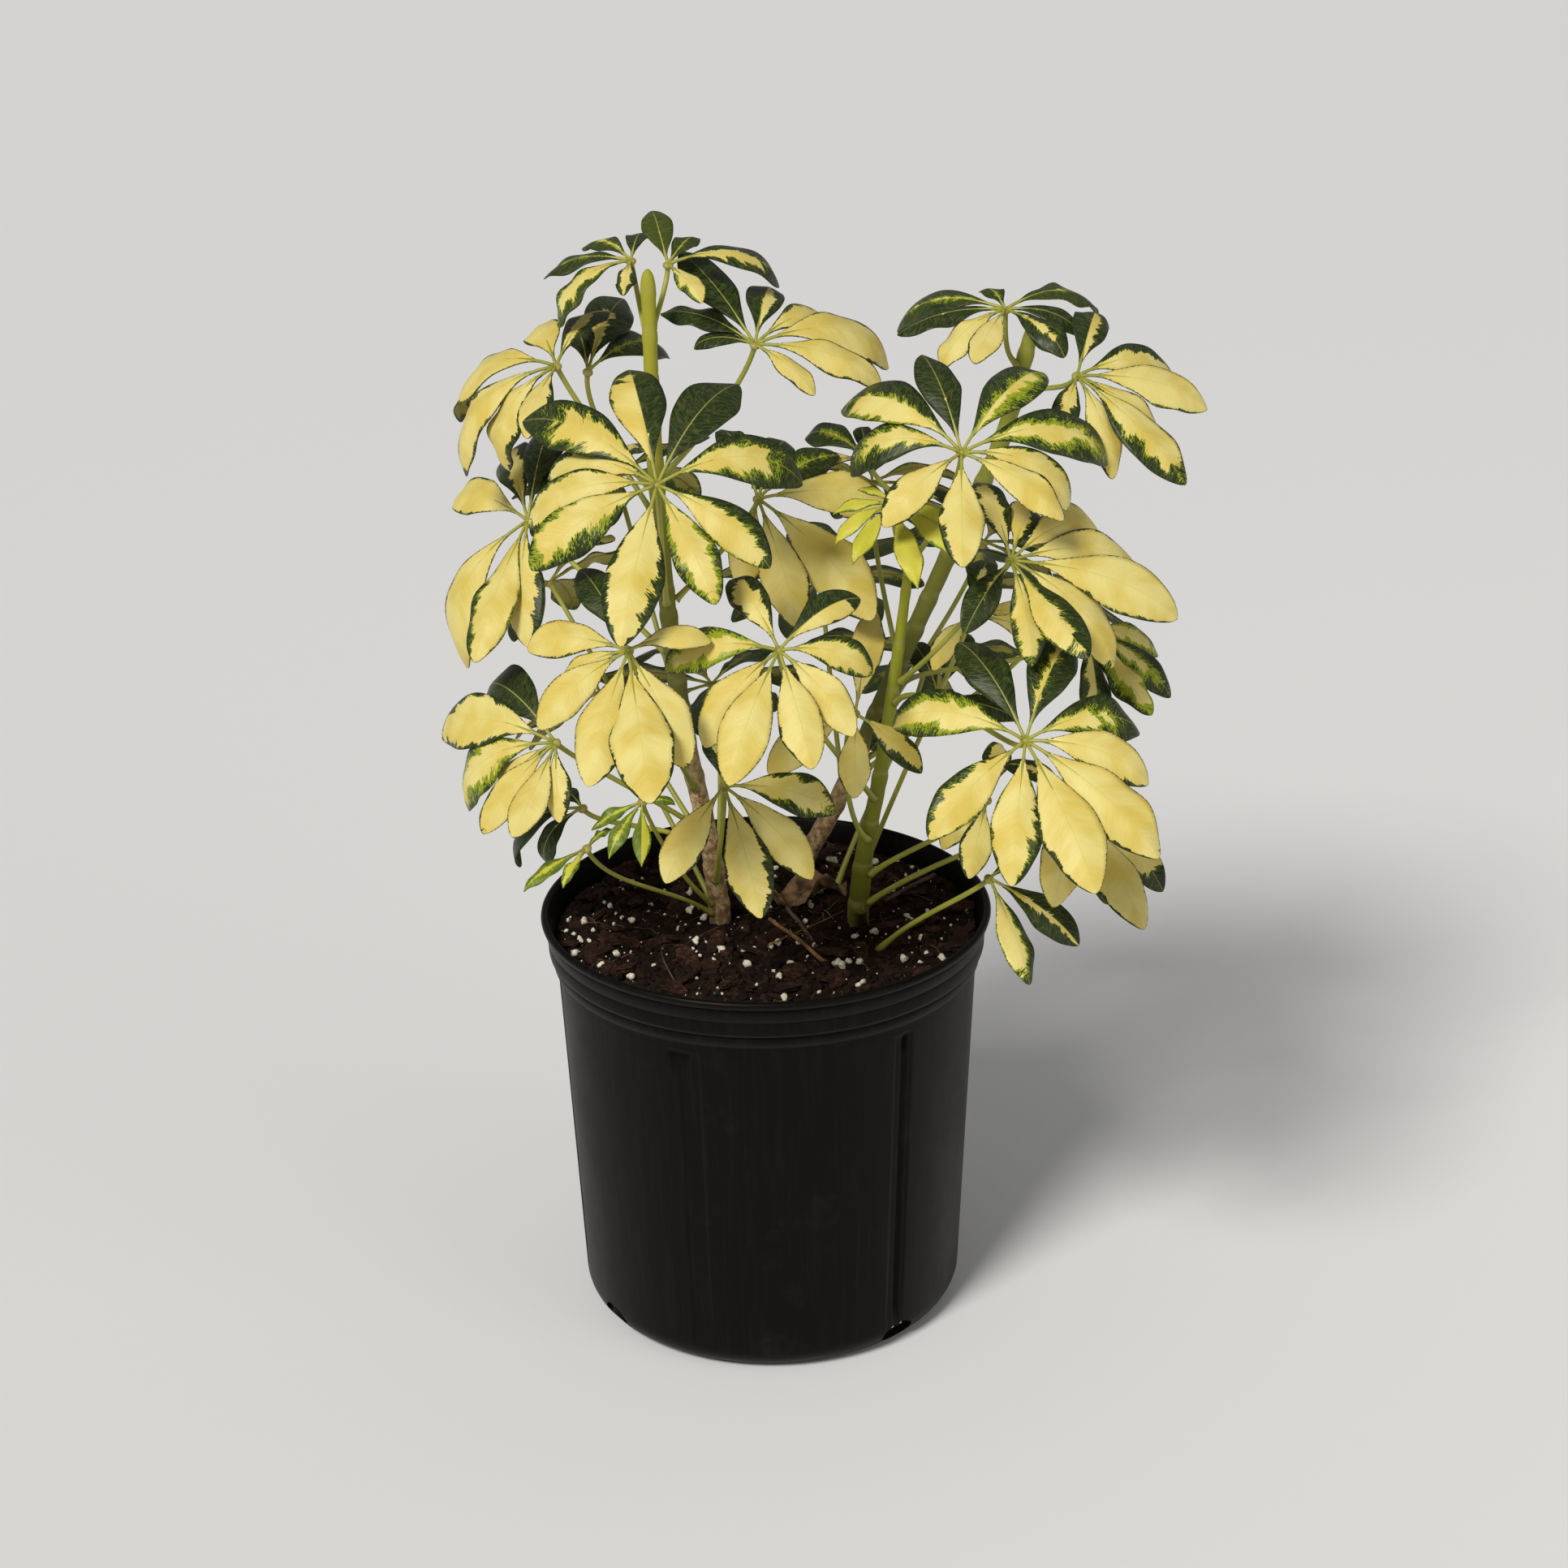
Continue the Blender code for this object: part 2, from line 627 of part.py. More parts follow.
def leaf_axes(faces):
    """Outward, upward and rightward directions of a leaf that faces this way."""
    turn, rise = (math.radians(angle) for angle in faces)
    outward = Vector((math.sin(turn) * math.cos(rise), -math.cos(turn) * math.cos(rise), math.sin(rise)))
    rightward = Vector((math.cos(turn), math.sin(turn), 0))
    return outward, outward.cross(rightward), rightward


def leaflet_frames(hub, faces, clock, length, sag, shares):
    """Place, direction, upper side and rightward side of a leaflet at shares of its length."""
    outward, upward, rightward = leaf_axes(faces)
    angle, lift = math.radians(clock), math.radians(BLADE_LIFT)
    radial = upward * math.cos(angle) + rightward * math.sin(angle)
    start = radial * math.cos(lift) + outward * math.sin(lift)
    pull = Vector((0, 0, -0.7)) - outward * 0.5
    pull = (pull - start * pull.dot(start)).normalized()
    hinge = start.cross(pull)
    top = (outward - start * outward.dot(start)).normalized()
    steps = 24
    place, along = Vector(hub), 0.0
    frames = []
    for share in shares:
        while along < share - 1e-6:
            step = min(1 / steps, share - along)
            middle = math.radians(sag) * (along + step / 2) ** 1.25
            place = place + Quaternion(hinge, middle) @ start * (length * step)
            along += step
        turn = Quaternion(hinge, math.radians(sag) * share**1.25)
        direction, upper = turn @ start, turn @ top
        frames.append((place.copy(), direction, upper, direction.cross(upper)))
    return frames


def blade_mesh(name, leaf, row, guard=0.0, with_stalk=True):
    """A leaflet: its short stalk and its arched blade, as one plate of even thickness.

    A guard makes the plate thicker and wider on all sides, to test that there is room for it.
    """
    clock, length, sag = row
    length /= 1000
    stations = BLADE_STATIONS
    if with_stalk:
        stations = ((STALK_ROOT / length, 0.0, False), *BLADE_STATIONS)
    shares = [share for share, _, _ in stations] + [1.0]
    frames = leaflet_frames(metres(leaf["hub"]), leaf["faces"], clock, length, sag, shares)
    half = length * leaf.get("width", BLADE_WIDTH) / 2
    bm = bmesh.new()
    rows = []
    for (place, _, upper, side), (_, spread, has_rib) in zip(frames, stations):
        reach = STALK_HALF_WIDTH + half * spread + guard / 2
        place = place + upper * (guard / 2)
        drop = upper * (-BLADE_FOLD * half * spread)
        across = [place - side * reach + drop, place + side * reach + drop]
        if has_rib:
            across.insert(1, place)
        rows.append([bm.verts.new(point) for point in across])
    tip, _, tip_upper, _ = frames[-1]
    rows.append([bm.verts.new(tip + tip_upper * (guard / 2))])
    for near, far in zip(rows, rows[1:]):
        bridge_rows(bm, near, far)
    thickness = BLADE_THICKNESS + guard
    sheet = bm.faces[:]
    for face in sheet:
        if face.normal.dot(frames[1][2]) < 0:
            face.normal_flip()
    bmesh.ops.solidify(bm, geom=sheet, thickness=thickness)
    bmesh.ops.triangulate(bm, faces=[face for face in bm.faces if len(face.verts) > 3])
    return mesh_from(bm, name)


def bridge_rows(bm, near, far):
    """Triangles between two rows of points across a blade."""
    i = j = 0
    while i < len(near) - 1 or j < len(far) - 1:
        near_share = (i + 0.5) / max(len(near) - 1, 0.01)
        far_share = (j + 0.5) / max(len(far) - 1, 0.01)
        if j == len(far) - 1 or (i < len(near) - 1 and near_share <= far_share):
            face = bm.faces.new((near[i], near[i + 1], far[j]))
            i += 1
        else:
            face = bm.faces.new((near[i], far[j + 1], far[j]))
            j += 1
        face.normal_update()


def leafstalk_line(leaf, neighbours, node_shift=0.0, bow=0.0):
    """Centre line of a leafstalk: out of the stem at a slant, then up the back of the hub."""
    hub = metres(leaf["hub"])
    outward = leaf_axes(leaf["faces"])[0]
    if "root" in leaf:
        start = root_point(leaf) + Vector((0, 0, ROOT_STALK_FOOT))
        first = start.lerp(hub, 1 / 3) + Vector((bow, bow + node_shift, ROOT_STALK_RISE))
        second = hub - outward * (hub - start).length * 0.25
        return [root_point(leaf)] + [on_curve((start, first, second, hub), step / 4) for step in range(5)]
    line, _ = stem_line(leaf["stem"])
    near = min(line[2:], key=lambda point: (point - hub).length)
    run = (Vector((hub.x, hub.y, 0)) - Vector((near.x, near.y, 0))).length
    height = leaf.get("node", (hub.z - 0.02 - 0.8 * run) * 1000) / 1000 + node_shift
    height = min(max(height, SOIL_TOP + 0.012), line[-1].z - 0.002)
    root = stem_at(leaf["stem"], height)
    away = Vector((hub.x - root.x, hub.y - root.y, 0)).normalized()
    rising = (away * 0.75 + Vector((0, 0, 0.66))).normalized()
    seat = neighbours.reach(leaf["stem"] + "_stem", root, away) + GAP
    heel = 0.0
    sideways = away.cross(Vector((0, 0, 1))) * bow
    for _ in range(3):
        start = root + away * (seat + heel)
        span = (hub - start).length
        first = start + rising * span * 0.35 + sideways
        second = hub - outward * span * 0.30 + sideways
        points = [on_curve((start, first, second, hub), step / 4) for step in range(5)]
        slant = (points[1] - points[0]).normalized().dot(away)
        heel = LEAFSTALK_RADIUS * LEAFSTALK_TAPER[0] * math.sqrt(1 - slant * slant)
    return points


def root_point(leaf):
    """Where a leafstalk that grows from below the soil begins."""
    x, y = leaf["root"]
    return metres((x, y, 0)) + Vector((0, 0, SOIL_TOP + 0.003 - ROOT_DEPTH))


def stalk_radii(points):
    """A leafstalk's radius at each of its points, from its swollen heel to its thin end."""
    last = len(LEAFSTALK_TAPER) - 1
    shares = [index / (len(points) - 1) * last for index in range(len(points))]
    return [LEAFSTALK_RADIUS * LEAFSTALK_TAPER[round(share)] for share in shares]


def on_curve(points, t):
    """A point on the curve that four control points shape."""
    a, b, c, d = points
    return a * (1 - t) ** 3 + b * 3 * t * (1 - t) ** 2 + c * 3 * t * t * (1 - t) + d * t**3


class Neighbours:
    """The solids placed so far, asked whether a new one would touch any of another node."""

    def __init__(self):
        self.placed = []

    def add(self, owner, mesh):
        """Remembers a mesh under the name of what it belongs to."""
        self.placed.append((owner, *self.measure(mesh)))
        return mesh

    def touches(self, mesh, skipping=()):
        """True if this mesh meets one that belongs to something else."""
        tree, centre, radius = self.measure(mesh)
        for owner, other_tree, other_centre, other_radius in self.placed:
            if owner in skipping or (centre - other_centre).length > radius + other_radius:
                continue
            if tree.overlap(other_tree):
                return True
        return False

    def reach(self, owner, start, direction):
        """How far it is from a point inside a solid to its surface."""
        for other, tree, _, _ in self.placed:
            if other == owner:
                return tree.ray_cast(start, direction)[3]
        return 0.0

    @staticmethod
    def measure(mesh):
        """Search tree and bounding ball of a mesh."""
        points = [vert.co.copy() for vert in mesh.vertices]
        tree = BVHTree.FromPolygons(points, [tuple(face.vertices) for face in mesh.polygons])
        centre = sum(points, Vector()) / len(points)
        return tree, centre, max((point - centre).length for point in points)


def nudges():
    """Small changes of clock angle and sag, tried in order until a leaflet hangs clear."""
    yield 0, 0
    for size in (6, 12, 18, 26, 36):
        for swing, sag in ((0, 1), (0, -1), (0.6, 0), (-0.6, 0), (0.6, 1), (-0.6, 1), (0.6, -1), (-0.6, -1)):
            yield swing * size, sag * size


def placed_leaflet(name, leaf, row, neighbours):
    """The leaflet's row, bent clear of what is already there, or None where there is no room."""
    clock, length, sag = row
    for share in (1.0, 0.84, 0.7):
        for swing, bend in nudges():
            tried = (clock + swing, length * share, sag + bend)
            guard = blade_mesh("guard", leaf, tried, guard=GUARD)
            bare = blade_mesh("bare", leaf, tried, guard=SIBLING_GUARD, with_stalk=False)
            blocked = neighbours.touches(guard, skipping=(name, name + "_blades"))
            blocked = blocked or neighbours.touches(bare, skipping=(name,))
            bpy.data.meshes.remove(guard)
            bpy.data.meshes.remove(bare)
            if not blocked:
                return tried
    return None


def placed_stalk(name, leaf, neighbours):
    """A leafstalk's line that passes clear of the ones before it."""
    tries = [(0.0, 0.0)]
    for size in (0.008, 0.016, 0.026, 0.036):
        tries += [(size, 0), (-size, 0), (0, size), (0, -size), (size, size), (-size, size), (-size, -size)]
    for shift, bow in tries:
        points = leafstalk_line(leaf, neighbours, shift, bow)
        radii = [LEAFSTALK_RADIUS + GUARD / 3] * len(points)
        guard = tube_mesh("guard", points[1:], radii[1:], 0)
        close = tube_mesh("close", points, [LEAFSTALK_RADIUS * LEAFSTALK_TAPER[0]] * len(points), 0)
        blocked = neighbours.touches(guard) or neighbours.touches(close)
        bpy.data.meshes.remove(guard)
        bpy.data.meshes.remove(close)
        if not blocked:
            return points
    print(f"{name}: its leafstalk meets another")
    return leafstalk_line(leaf, neighbours)


def hub_mesh(name, leaf):
    """The knob that a leaf's leaflets spread from."""
    bm = bmesh.new()
    outward = leaf_axes(leaf["faces"])[0]
    place = Matrix.Translation(metres(leaf["hub"])) @ outward.to_track_quat("Z", "Y").to_matrix().to_4x4()
    bmesh.ops.create_cone(
        bm, cap_ends=True, segments=HUB_SIDES, radius1=HUB_RADIUS * 0.8, radius2=HUB_RADIUS, depth=HUB_DEPTH,
        matrix=place,
    )
    return mesh_from(bm, name)


def make_leaf(name, leaf, stalk, rows):
    """One compound leaf: leafstalk, hub and leaflets joined in a single solid."""
    made = add_object(name, tube_mesh(name, stalk, stalk_radii(stalk), 0), "leaf")
    pieces = [helper_object(name + "_hub", hub_mesh(name + "_hub", leaf))]
    for index, row in enumerate(rows):
        label = f"{name}_{index}"
        pieces.append(helper_object(label, blade_mesh(label, leaf, row)))
    combine(made, pieces, "UNION")
    made.data.materials.clear()
    made.data.materials.append(material("leaf"))
    return made


def make_leaves(neighbours):
    """Every leaf, with each leaflet bent clear of the other leaves."""
    stalks = {}
    for name, leaf in LEAVES.items():
        stalks[name] = placed_stalk(name, leaf, neighbours)
        radii = [LEAFSTALK_RADIUS * LEAFSTALK_TAPER[0]] * len(stalks[name])
        neighbours.add(name, tube_mesh(name, stalks[name], radii, 0))
        neighbours.add(name, hub_mesh(name, leaf))
    for name, leaf in LEAVES.items():
        rows = []
        for row in leaf["fan"]:
            fitted = placed_leaflet(name, leaf, with_sag(*row), neighbours)
            if fitted is None:
                print(f"{name}: no room for the leaflet at {row[0]:.0f} degrees")
                continue
            rows.append(fitted)
            neighbours.add(name + "_blades", blade_mesh(name, leaf, fitted))
        make_leaf(name, leaf, stalks[name], rows)


# Litter on the soil

def laid_down(mesh, neighbours):
    """Lowers a mesh from above until it would touch what lies below."""
    mesh.transform(Matrix.Translation((0, 0, 0.012)))
    for _ in range(120):
        mesh.transform(Matrix.Translation((0, 0, -GAP / 2)))
        if neighbours.touches(mesh):
            mesh.transform(Matrix.Translation((0, 0, GAP)))
            break
    return mesh


def make_dry_stalk(name, neighbours):
    """A fallen leafstalk that lies on the soil."""
    start, end = (metres(point) for point in DRY_STALKS[name])
    middle = (start + end) / 2 + Vector((0.0015, 0, 0.001))
    radii = [DRY_STALK_RADIUS, DRY_STALK_RADIUS * 0.8, DRY_STALK_RADIUS * 1.1]
    mesh = laid_down(tube_mesh(name, [start, middle, end], radii, 0), neighbours)
    return add_object(name, mesh, "litter")


def make_shrivelled_leaf(neighbours):
    """The brown crumpled leaf between the stems."""
    shape = SHRIVELLED_LEAF
    bm = bmesh.new()
    bmesh.ops.create_grid(bm, x_segments=6, y_segments=3, size=1)
    for vert in bm.verts:
        along, across = vert.co.x, vert.co.y
        taper = math.cos(along * 1.25) ** 0.6
        x = along * shape["length"] / 2
        y = across * taper * shape["width"] / 2 + 0.004 * math.sin(along * 3)
        z = 0.004 * (1 - across * across + along * along)
        z += 0.005 * noise.noise(Vector((x * 70, y * 90, 1.3)))
        vert.co = Vector((x, y, z)) + metres(shape["centre"])
    bmesh.ops.triangulate(bm, faces=bm.faces)
    for face in bm.faces:
        face.normal_update()
        if face.normal.z < 0:
            face.normal_flip()
    bmesh.ops.solidify(bm, geom=bm.faces[:], thickness=0.0008)
    mesh = laid_down(mesh_from(bm, "shrivelled_leaf"), neighbours)
    return add_object("shrivelled_leaf", mesh, "litter")


def main():
    """Builds the whole plant."""
    for obj in list(bpy.data.objects):
        bpy.data.objects.remove(obj)
    neighbours = Neighbours()
    pot = make_pot()
    soil = make_soil()
    neighbours.add("pot", pot.data)
    neighbours.add("soil", soil.data)
    for stem in STEMS:
        neighbours.add(f"{stem}_stem", make_stem(stem).data)
    for name in DRY_STALKS:
        neighbours.add(name, make_dry_stalk(name, neighbours).data)
    neighbours.add("shrivelled_leaf", make_shrivelled_leaf(neighbours).data)
    make_leaves(neighbours)


main()
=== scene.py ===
# %% [markdown]
# # Dressing a potted dwarf umbrella tree
#
# A dwarf umbrella tree holds its leaflets like the ribs of an umbrella: a long leafstalk ends in a knob,
# and up to ten glossy leaflets spread from it. This plant is a marbled one, cream yellow and dark green,
# in a black nursery pot.
#
# The plain solids of the plant are loaded first. Each is then replaced by a finer piece that keeps its
# form, so every place here is worked out from the same few numbers as the solids, or read from them.

# %% Load the plain solids
import math
import random

import bmesh
import bpy
from mathutils import Matrix, Quaternion, Vector, noise
from mathutils.bvhtree import BVHTree
from mathutils.kdtree import KDTree


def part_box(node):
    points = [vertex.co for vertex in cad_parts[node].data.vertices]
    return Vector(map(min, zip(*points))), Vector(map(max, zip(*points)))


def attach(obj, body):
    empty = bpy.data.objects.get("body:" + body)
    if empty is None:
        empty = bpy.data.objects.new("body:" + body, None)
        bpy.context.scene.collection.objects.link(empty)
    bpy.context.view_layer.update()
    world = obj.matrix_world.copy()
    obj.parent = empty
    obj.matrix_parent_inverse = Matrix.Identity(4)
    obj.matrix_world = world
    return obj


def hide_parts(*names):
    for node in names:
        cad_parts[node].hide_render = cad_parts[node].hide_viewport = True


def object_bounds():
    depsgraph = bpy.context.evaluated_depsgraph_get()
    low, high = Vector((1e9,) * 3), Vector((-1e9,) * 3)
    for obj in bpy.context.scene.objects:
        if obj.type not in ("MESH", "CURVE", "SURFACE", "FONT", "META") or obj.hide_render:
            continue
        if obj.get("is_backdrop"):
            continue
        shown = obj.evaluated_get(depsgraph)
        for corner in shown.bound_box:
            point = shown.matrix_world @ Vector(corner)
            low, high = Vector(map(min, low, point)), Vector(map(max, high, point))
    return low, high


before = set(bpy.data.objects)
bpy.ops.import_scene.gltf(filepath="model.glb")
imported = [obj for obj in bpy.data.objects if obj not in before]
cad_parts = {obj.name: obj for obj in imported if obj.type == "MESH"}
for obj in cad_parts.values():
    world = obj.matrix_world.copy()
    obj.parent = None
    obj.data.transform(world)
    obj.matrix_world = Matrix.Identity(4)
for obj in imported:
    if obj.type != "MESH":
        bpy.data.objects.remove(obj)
cad_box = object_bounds()
print(f"{len(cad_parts)} solids in a box of {[round(side, 3) for side in cad_box[1] - cad_box[0]]} m")

# %% [markdown]
# ## The camera first
#
# A camera is a place, a direction and a focal length. The picture was taken from about 1.8 m away with
# a long lens, looking down by a bit more than 20 degrees, and the camera was tipped to one side by one
# degree. It is made first, so that every later cell can be looked at as it is added.

# %% Place the camera
IMAGE_SIDE = 1932
FOCAL_PIXELS = 4000
SENSOR_WIDTH = 36
LOOKS_DOWN = math.radians(22.7)
TIPPED = math.radians(-0.96)
LOOKS_AT = Vector((0.0114, 0, 0.314))
CAMERA_DISTANCE = 1.806


def add_object(name, data):
    """An object made of a mesh, a lamp or a camera, and linked into the scene."""
    made = bpy.data.objects.new(name, data)
    bpy.context.scene.collection.objects.link(made)
    return made


forward = Vector((0, math.cos(LOOKS_DOWN), -math.sin(LOOKS_DOWN)))
level_up = Vector((1, 0, 0)).cross(forward)
rightward = Vector((1, 0, 0)) * math.cos(TIPPED) + level_up * math.sin(TIPPED)
camera_axes = Matrix((rightward, rightward.cross(forward), -forward)).transposed()
camera = add_object("camera", bpy.data.cameras.new("camera"))
camera.data.sensor_width = SENSOR_WIDTH
camera.data.lens = FOCAL_PIXELS / IMAGE_SIDE * SENSOR_WIDTH
camera.matrix_world = Matrix.Translation(LOOKS_AT - forward * CAMERA_DISTANCE) @ camera_axes.to_4x4()
bpy.context.scene.camera = camera
print(f"lens {camera.data.lens:.1f} mm, {camera.location.z:.2f} m above the floor")

# %% [markdown]
# ## Small helpers for materials
#
# A material is a tree of nodes. Written out in full, each node takes several lines, so a few helpers
# make them short. A node's output is wrapped as a signal, so that a sum of signals can be written as
# any other sum, and the other helpers stand for the nodes that come back again and again, such as soft
# steps, noise and mixed colours.

# %% Node helpers
class Signal:
    """A node's output that can stand in a sum, where each sign adds one Math node."""

    def __init__(self, socket):
        self.socket = socket
        self.tree = socket.id_data

    __add__ = __radd__ = lambda self, other: calc("ADD", self, other)
    __mul__ = __rmul__ = lambda self, other: calc("MULTIPLY", self, other)
    __sub__ = lambda self, other: calc("SUBTRACT", self, other)
    __rsub__ = lambda self, other: calc("SUBTRACT", other, self)


def tree_of(*values):
    """The node tree of the first signal among these values."""
    return next(value.tree for value in values if isinstance(value, Signal))


def feed(socket, value):
    """Links a signal to a socket, or gives it a plain value."""
    if isinstance(value, Signal):
        value.tree.links.new(value.socket, socket)
    else:
        socket.default_value = value


def add_node(tree, kind, settings=None, **inputs):
    """A shader node; an input is a plain value or a signal, and _0 means the first input."""
    made = tree.nodes.new("ShaderNode" + kind)
    for key, value in (settings or {}).items():
        setattr(made, key, value)
    for key, value in inputs.items():
        feed(made.inputs[int(key[1:])] if key[0] == "_" else made.inputs[key.replace("_", " ")], value)
    return made


def output_of(tree, kind, settings=None, output=0, **inputs):
    """One output of a new node, as a signal."""
    return Signal(add_node(tree, kind, settings, **inputs).outputs[output])


def calc(operation, first, second=0.5):
    """The result of one sum."""
    return output_of(tree_of(first, second), "Math", {"operation": operation}, _0=first, _1=second)


def clamped(value):
    """A signal kept between nothing and one."""
    return output_of(value.tree, "Clamp", Value=value)


def soft_step(value, low, high):
    """Nothing below low, one above high, and a smooth rise between."""
    settings = {"interpolation_type": "SMOOTHSTEP"}
    return output_of(value.tree, "MapRange", settings, Value=value, From_Min=low, From_Max=high)


def mix_colour(factor, first, second):
    """One colour laid over another; a plain colour is three numbers."""
    tree = tree_of(factor, first, second)
    first, second = (side if isinstance(side, Signal) else (*side, 1) for side in (first, second))
    return output_of(tree, "Mix", {"data_type": "RGBA"}, 2, _0=factor, _6=first, _7=second)


def mix_value(factor, first, second):
    """A number between two others."""
    return output_of(tree_of(factor, first, second), "Mix", _0=factor, _2=first, _3=second)


def cloud(vector, scale, detail=2.0, roughness=0.5):
    """Soft noise of a given size, about a half on average."""
    return output_of(vector.tree, "TexNoise", Vector=vector, Scale=scale, Detail=detail, Roughness=roughness)


def stretched(vector, scale):
    """A pattern's coordinates, squeezed by a different amount along each axis."""
    return output_of(vector.tree, "VectorMath", {"operation": "MULTIPLY"}, _0=vector, _1=scale)


def split(value, kind="XYZ"):
    """The three numbers of a vector, or of a colour if the kind is Color."""
    return [Signal(socket) for socket in add_node(value.tree, "Separate" + kind, _0=value).outputs]


def object_place(tree):
    """The place on the piece, in metres."""
    return output_of(tree, "TexCoord", None, "Object")


def read_attribute(tree, name, part):
    """An attribute that the piece's own points carry."""
    return output_of(tree, "Attribute", {"attribute_name": name}, part)


def new_material(name, roughness, specular=0.5):
    """A material, its node tree and its Principled shader."""
    made = bpy.data.materials.new(name)
    made.use_nodes = True
    tree = made.node_tree
    shader = tree.nodes["Principled BSDF"]
    shader.inputs["Roughness"].default_value = roughness
    shader.inputs["Specular IOR Level"].default_value = specular
    return made, tree, shader


def finish_material(shader, colour, height=None, distance=0.001, strength=0.5, roughness=None):
    """Feeds a colour, and if they are given a relief and a roughness, to the shader."""
    feed(shader.inputs["Base Color"], colour)
    if height is not None:
        bump = output_of(colour.tree, "Bump", Strength=strength, Distance=distance, Height=height)
        feed(shader.inputs["Normal"], bump)
    if roughness is not None:
        feed(shader.inputs["Roughness"], roughness)


# %% [markdown]
# ## Marbled leaves
#
# The cream parts of a marbled leaf have no green cells. Where they end, the edge is torn along the side
# veins, with bright lime crumbs in the green beside it, and even a leaflet that is all cream keeps a
# hairline of dark green round its margin.
#
# Each leaflet carries its own numbers, so one group of nodes can draw them all: how much of its left
# and right half is green, how much of its tip, and how much lime is scattered in the green. The group
# asks how far a point lies inside the green part, adds noise that is stretched along the side veins,
# and cuts the result off sharply. Painted textures would do it too, but they would have to be stored.

# %% Build the marbling group
VEIN_SLANT = 0.8
NET_CELLS = (0.15, 0.34, 1)
EDGE_SOFTNESS = 0.012
HAIRLINE_STRENGTH = 0.85
LIME_STRENGTH = 0.9
VEIN_TINT = 0.07
TONES = ("Cream", "Golden", "Green", "Deep green", "Fresh green", "Lime")
# How each noise is squeezed across and along the side veins, then its detail and its roughness.
LEAF_NOISES = {
    "broad": (0.09, 0.13, 1.5, 0.5),
    "torn": (0.30, 0.95, 3.0, 0.6),
    "nibbled": (0.55, 0.75, 2.0, 0.5),
    "crumbs": (0.55, 1.1, 4.0, 0.65),
    "mottle": (0.30, 0.30, 3.0, 0.6),
    "ripe": (0.045, 0.045, 2.0, 0.5),
    "streaks": (0.10, 0.62, 2.0, 0.5),
    "pits": (0.9, 0.9, 2.0, 0.5),
}


def group_with(name, inputs, outputs):
    """An empty node group with these colour inputs and these outputs."""
    group = bpy.data.node_groups.new(name, "ShaderNodeTree")
    for label in inputs:
        group.interface.new_socket(label, in_out="INPUT", socket_type="NodeSocketColor")
    for label, kind in outputs.items():
        group.interface.new_socket(label, in_out="OUTPUT", socket_type="NodeSocket" + kind)
    return group, group.nodes.new("NodeGroupInput"), group.nodes.new("NodeGroupOutput")


def leaf_noise(veined, name):
    """One of the leaflet's noises."""
    across, along, detail, roughness = LEAF_NOISES[name]
    return cloud(stretched(veined, (across, along, 1)), 1.0, detail, roughness)


def green_field(across, along, side_share, tip_share, wobble):
    """How far inside the green part a point lies: above zero is green."""
    torn = (wobble + (along - 0.55) * 0.35) * clamped(side_share * 4.0)
    from_side = across + (side_share - 1.03) + torn
    from_tip = (along + (tip_share - 1.0)) * 2.0 - 0.12 + wobble * 0.8
    return calc("MAXIMUM", from_side, from_tip)


def make_marbling():
    """The group of nodes that colours every leaflet."""
    outputs = {"Colour": "Color", "Greenness": "Float", "Relief": "Float"}
    tree, given, result = group_with("marbling", TONES, outputs)
    cream, golden, green, deep_green, fresh_green, lime = (Signal(given.outputs[name]) for name in TONES)
    u, v, reach = split(read_attribute(tree, "blade", "Vector"))
    x, y, seed = split(read_attribute(tree, "grain", "Vector"))
    left, right, tip = split(read_attribute(tree, "marking", "Color"), "Color")
    lime_share = read_attribute(tree, "marking", "Alpha")

    across = calc("ABSOLUTE", u)
    from_rib = across * reach
    veined = output_of(tree, "CombineXYZ", X=x, Y=y - from_rib * VEIN_SLANT, Z=seed)
    noises = {name: leaf_noise(veined, name) for name in LEAF_NOISES}
    wobble = (noises["broad"] - 0.5) * 1.1 + (noises["torn"] - 0.5) * 0.55

    side_share = mix_value(calc("GREATER_THAN", u, 0.0), left, right)
    field = green_field(across, v, side_share, tip, wobble)
    inside = soft_step(field, -EDGE_SOFTNESS, EDGE_SOFTNESS)
    from_edge = (1.0 - across) * reach
    hairline = soft_step((noises["nibbled"] - 0.33) * 2.4 - from_edge, -0.04, 0.10)
    greenness = calc("MAXIMUM", inside, hairline * HAIRLINE_STRENGTH)

    crumbs_share = calc("MINIMUM", lime_share, 1.9 - lime_share)
    wanted = noises["crumbs"] - 0.56 + crumbs_share * 0.30
    depth_cost = field * (0.8 - crumbs_share * 0.4)
    lime_here = soft_step(wanted - depth_cost, 0.0, 0.05) * inside

    foliage = mix_colour(soft_step(noises["mottle"], 0.40, 0.62), deep_green, green)
    foliage = mix_colour(clamped(lime_share - 1.0), foliage, fresh_green)
    ripeness = soft_step(noises["ripe"], 0.34, 0.68) * 0.80 + soft_step(noises["streaks"], 0.30, 0.72) * 0.16
    colour = mix_colour(greenness, mix_colour(ripeness, cream, golden), foliage)
    colour = mix_colour(lime_here * LIME_STRENGTH, colour, lime)

    settings = {"feature": "DISTANCE_TO_EDGE"}
    cells = stretched(veined, NET_CELLS)
    net = output_of(tree, "TexVoronoi", settings, "Distance", Vector=cells, Scale=1.0)
    vein = 1.0 - soft_step(net, 0.0, 0.11)
    rib = 1.0 - soft_step(from_rib, 0.15, 0.45)
    rib_colour = mix_colour(0.55, lime, cream)
    colour = mix_colour(rib * (0.75 - v * 0.55), colour, rib_colour)
    colour = mix_colour(vein * greenness * VEIN_TINT, colour, rib_colour)
    relief = noises["pits"] * 0.5 - vein * 0.35
    for socket, value in zip(result.inputs, (colour, greenness, relief)):
        feed(socket, value)
    return tree


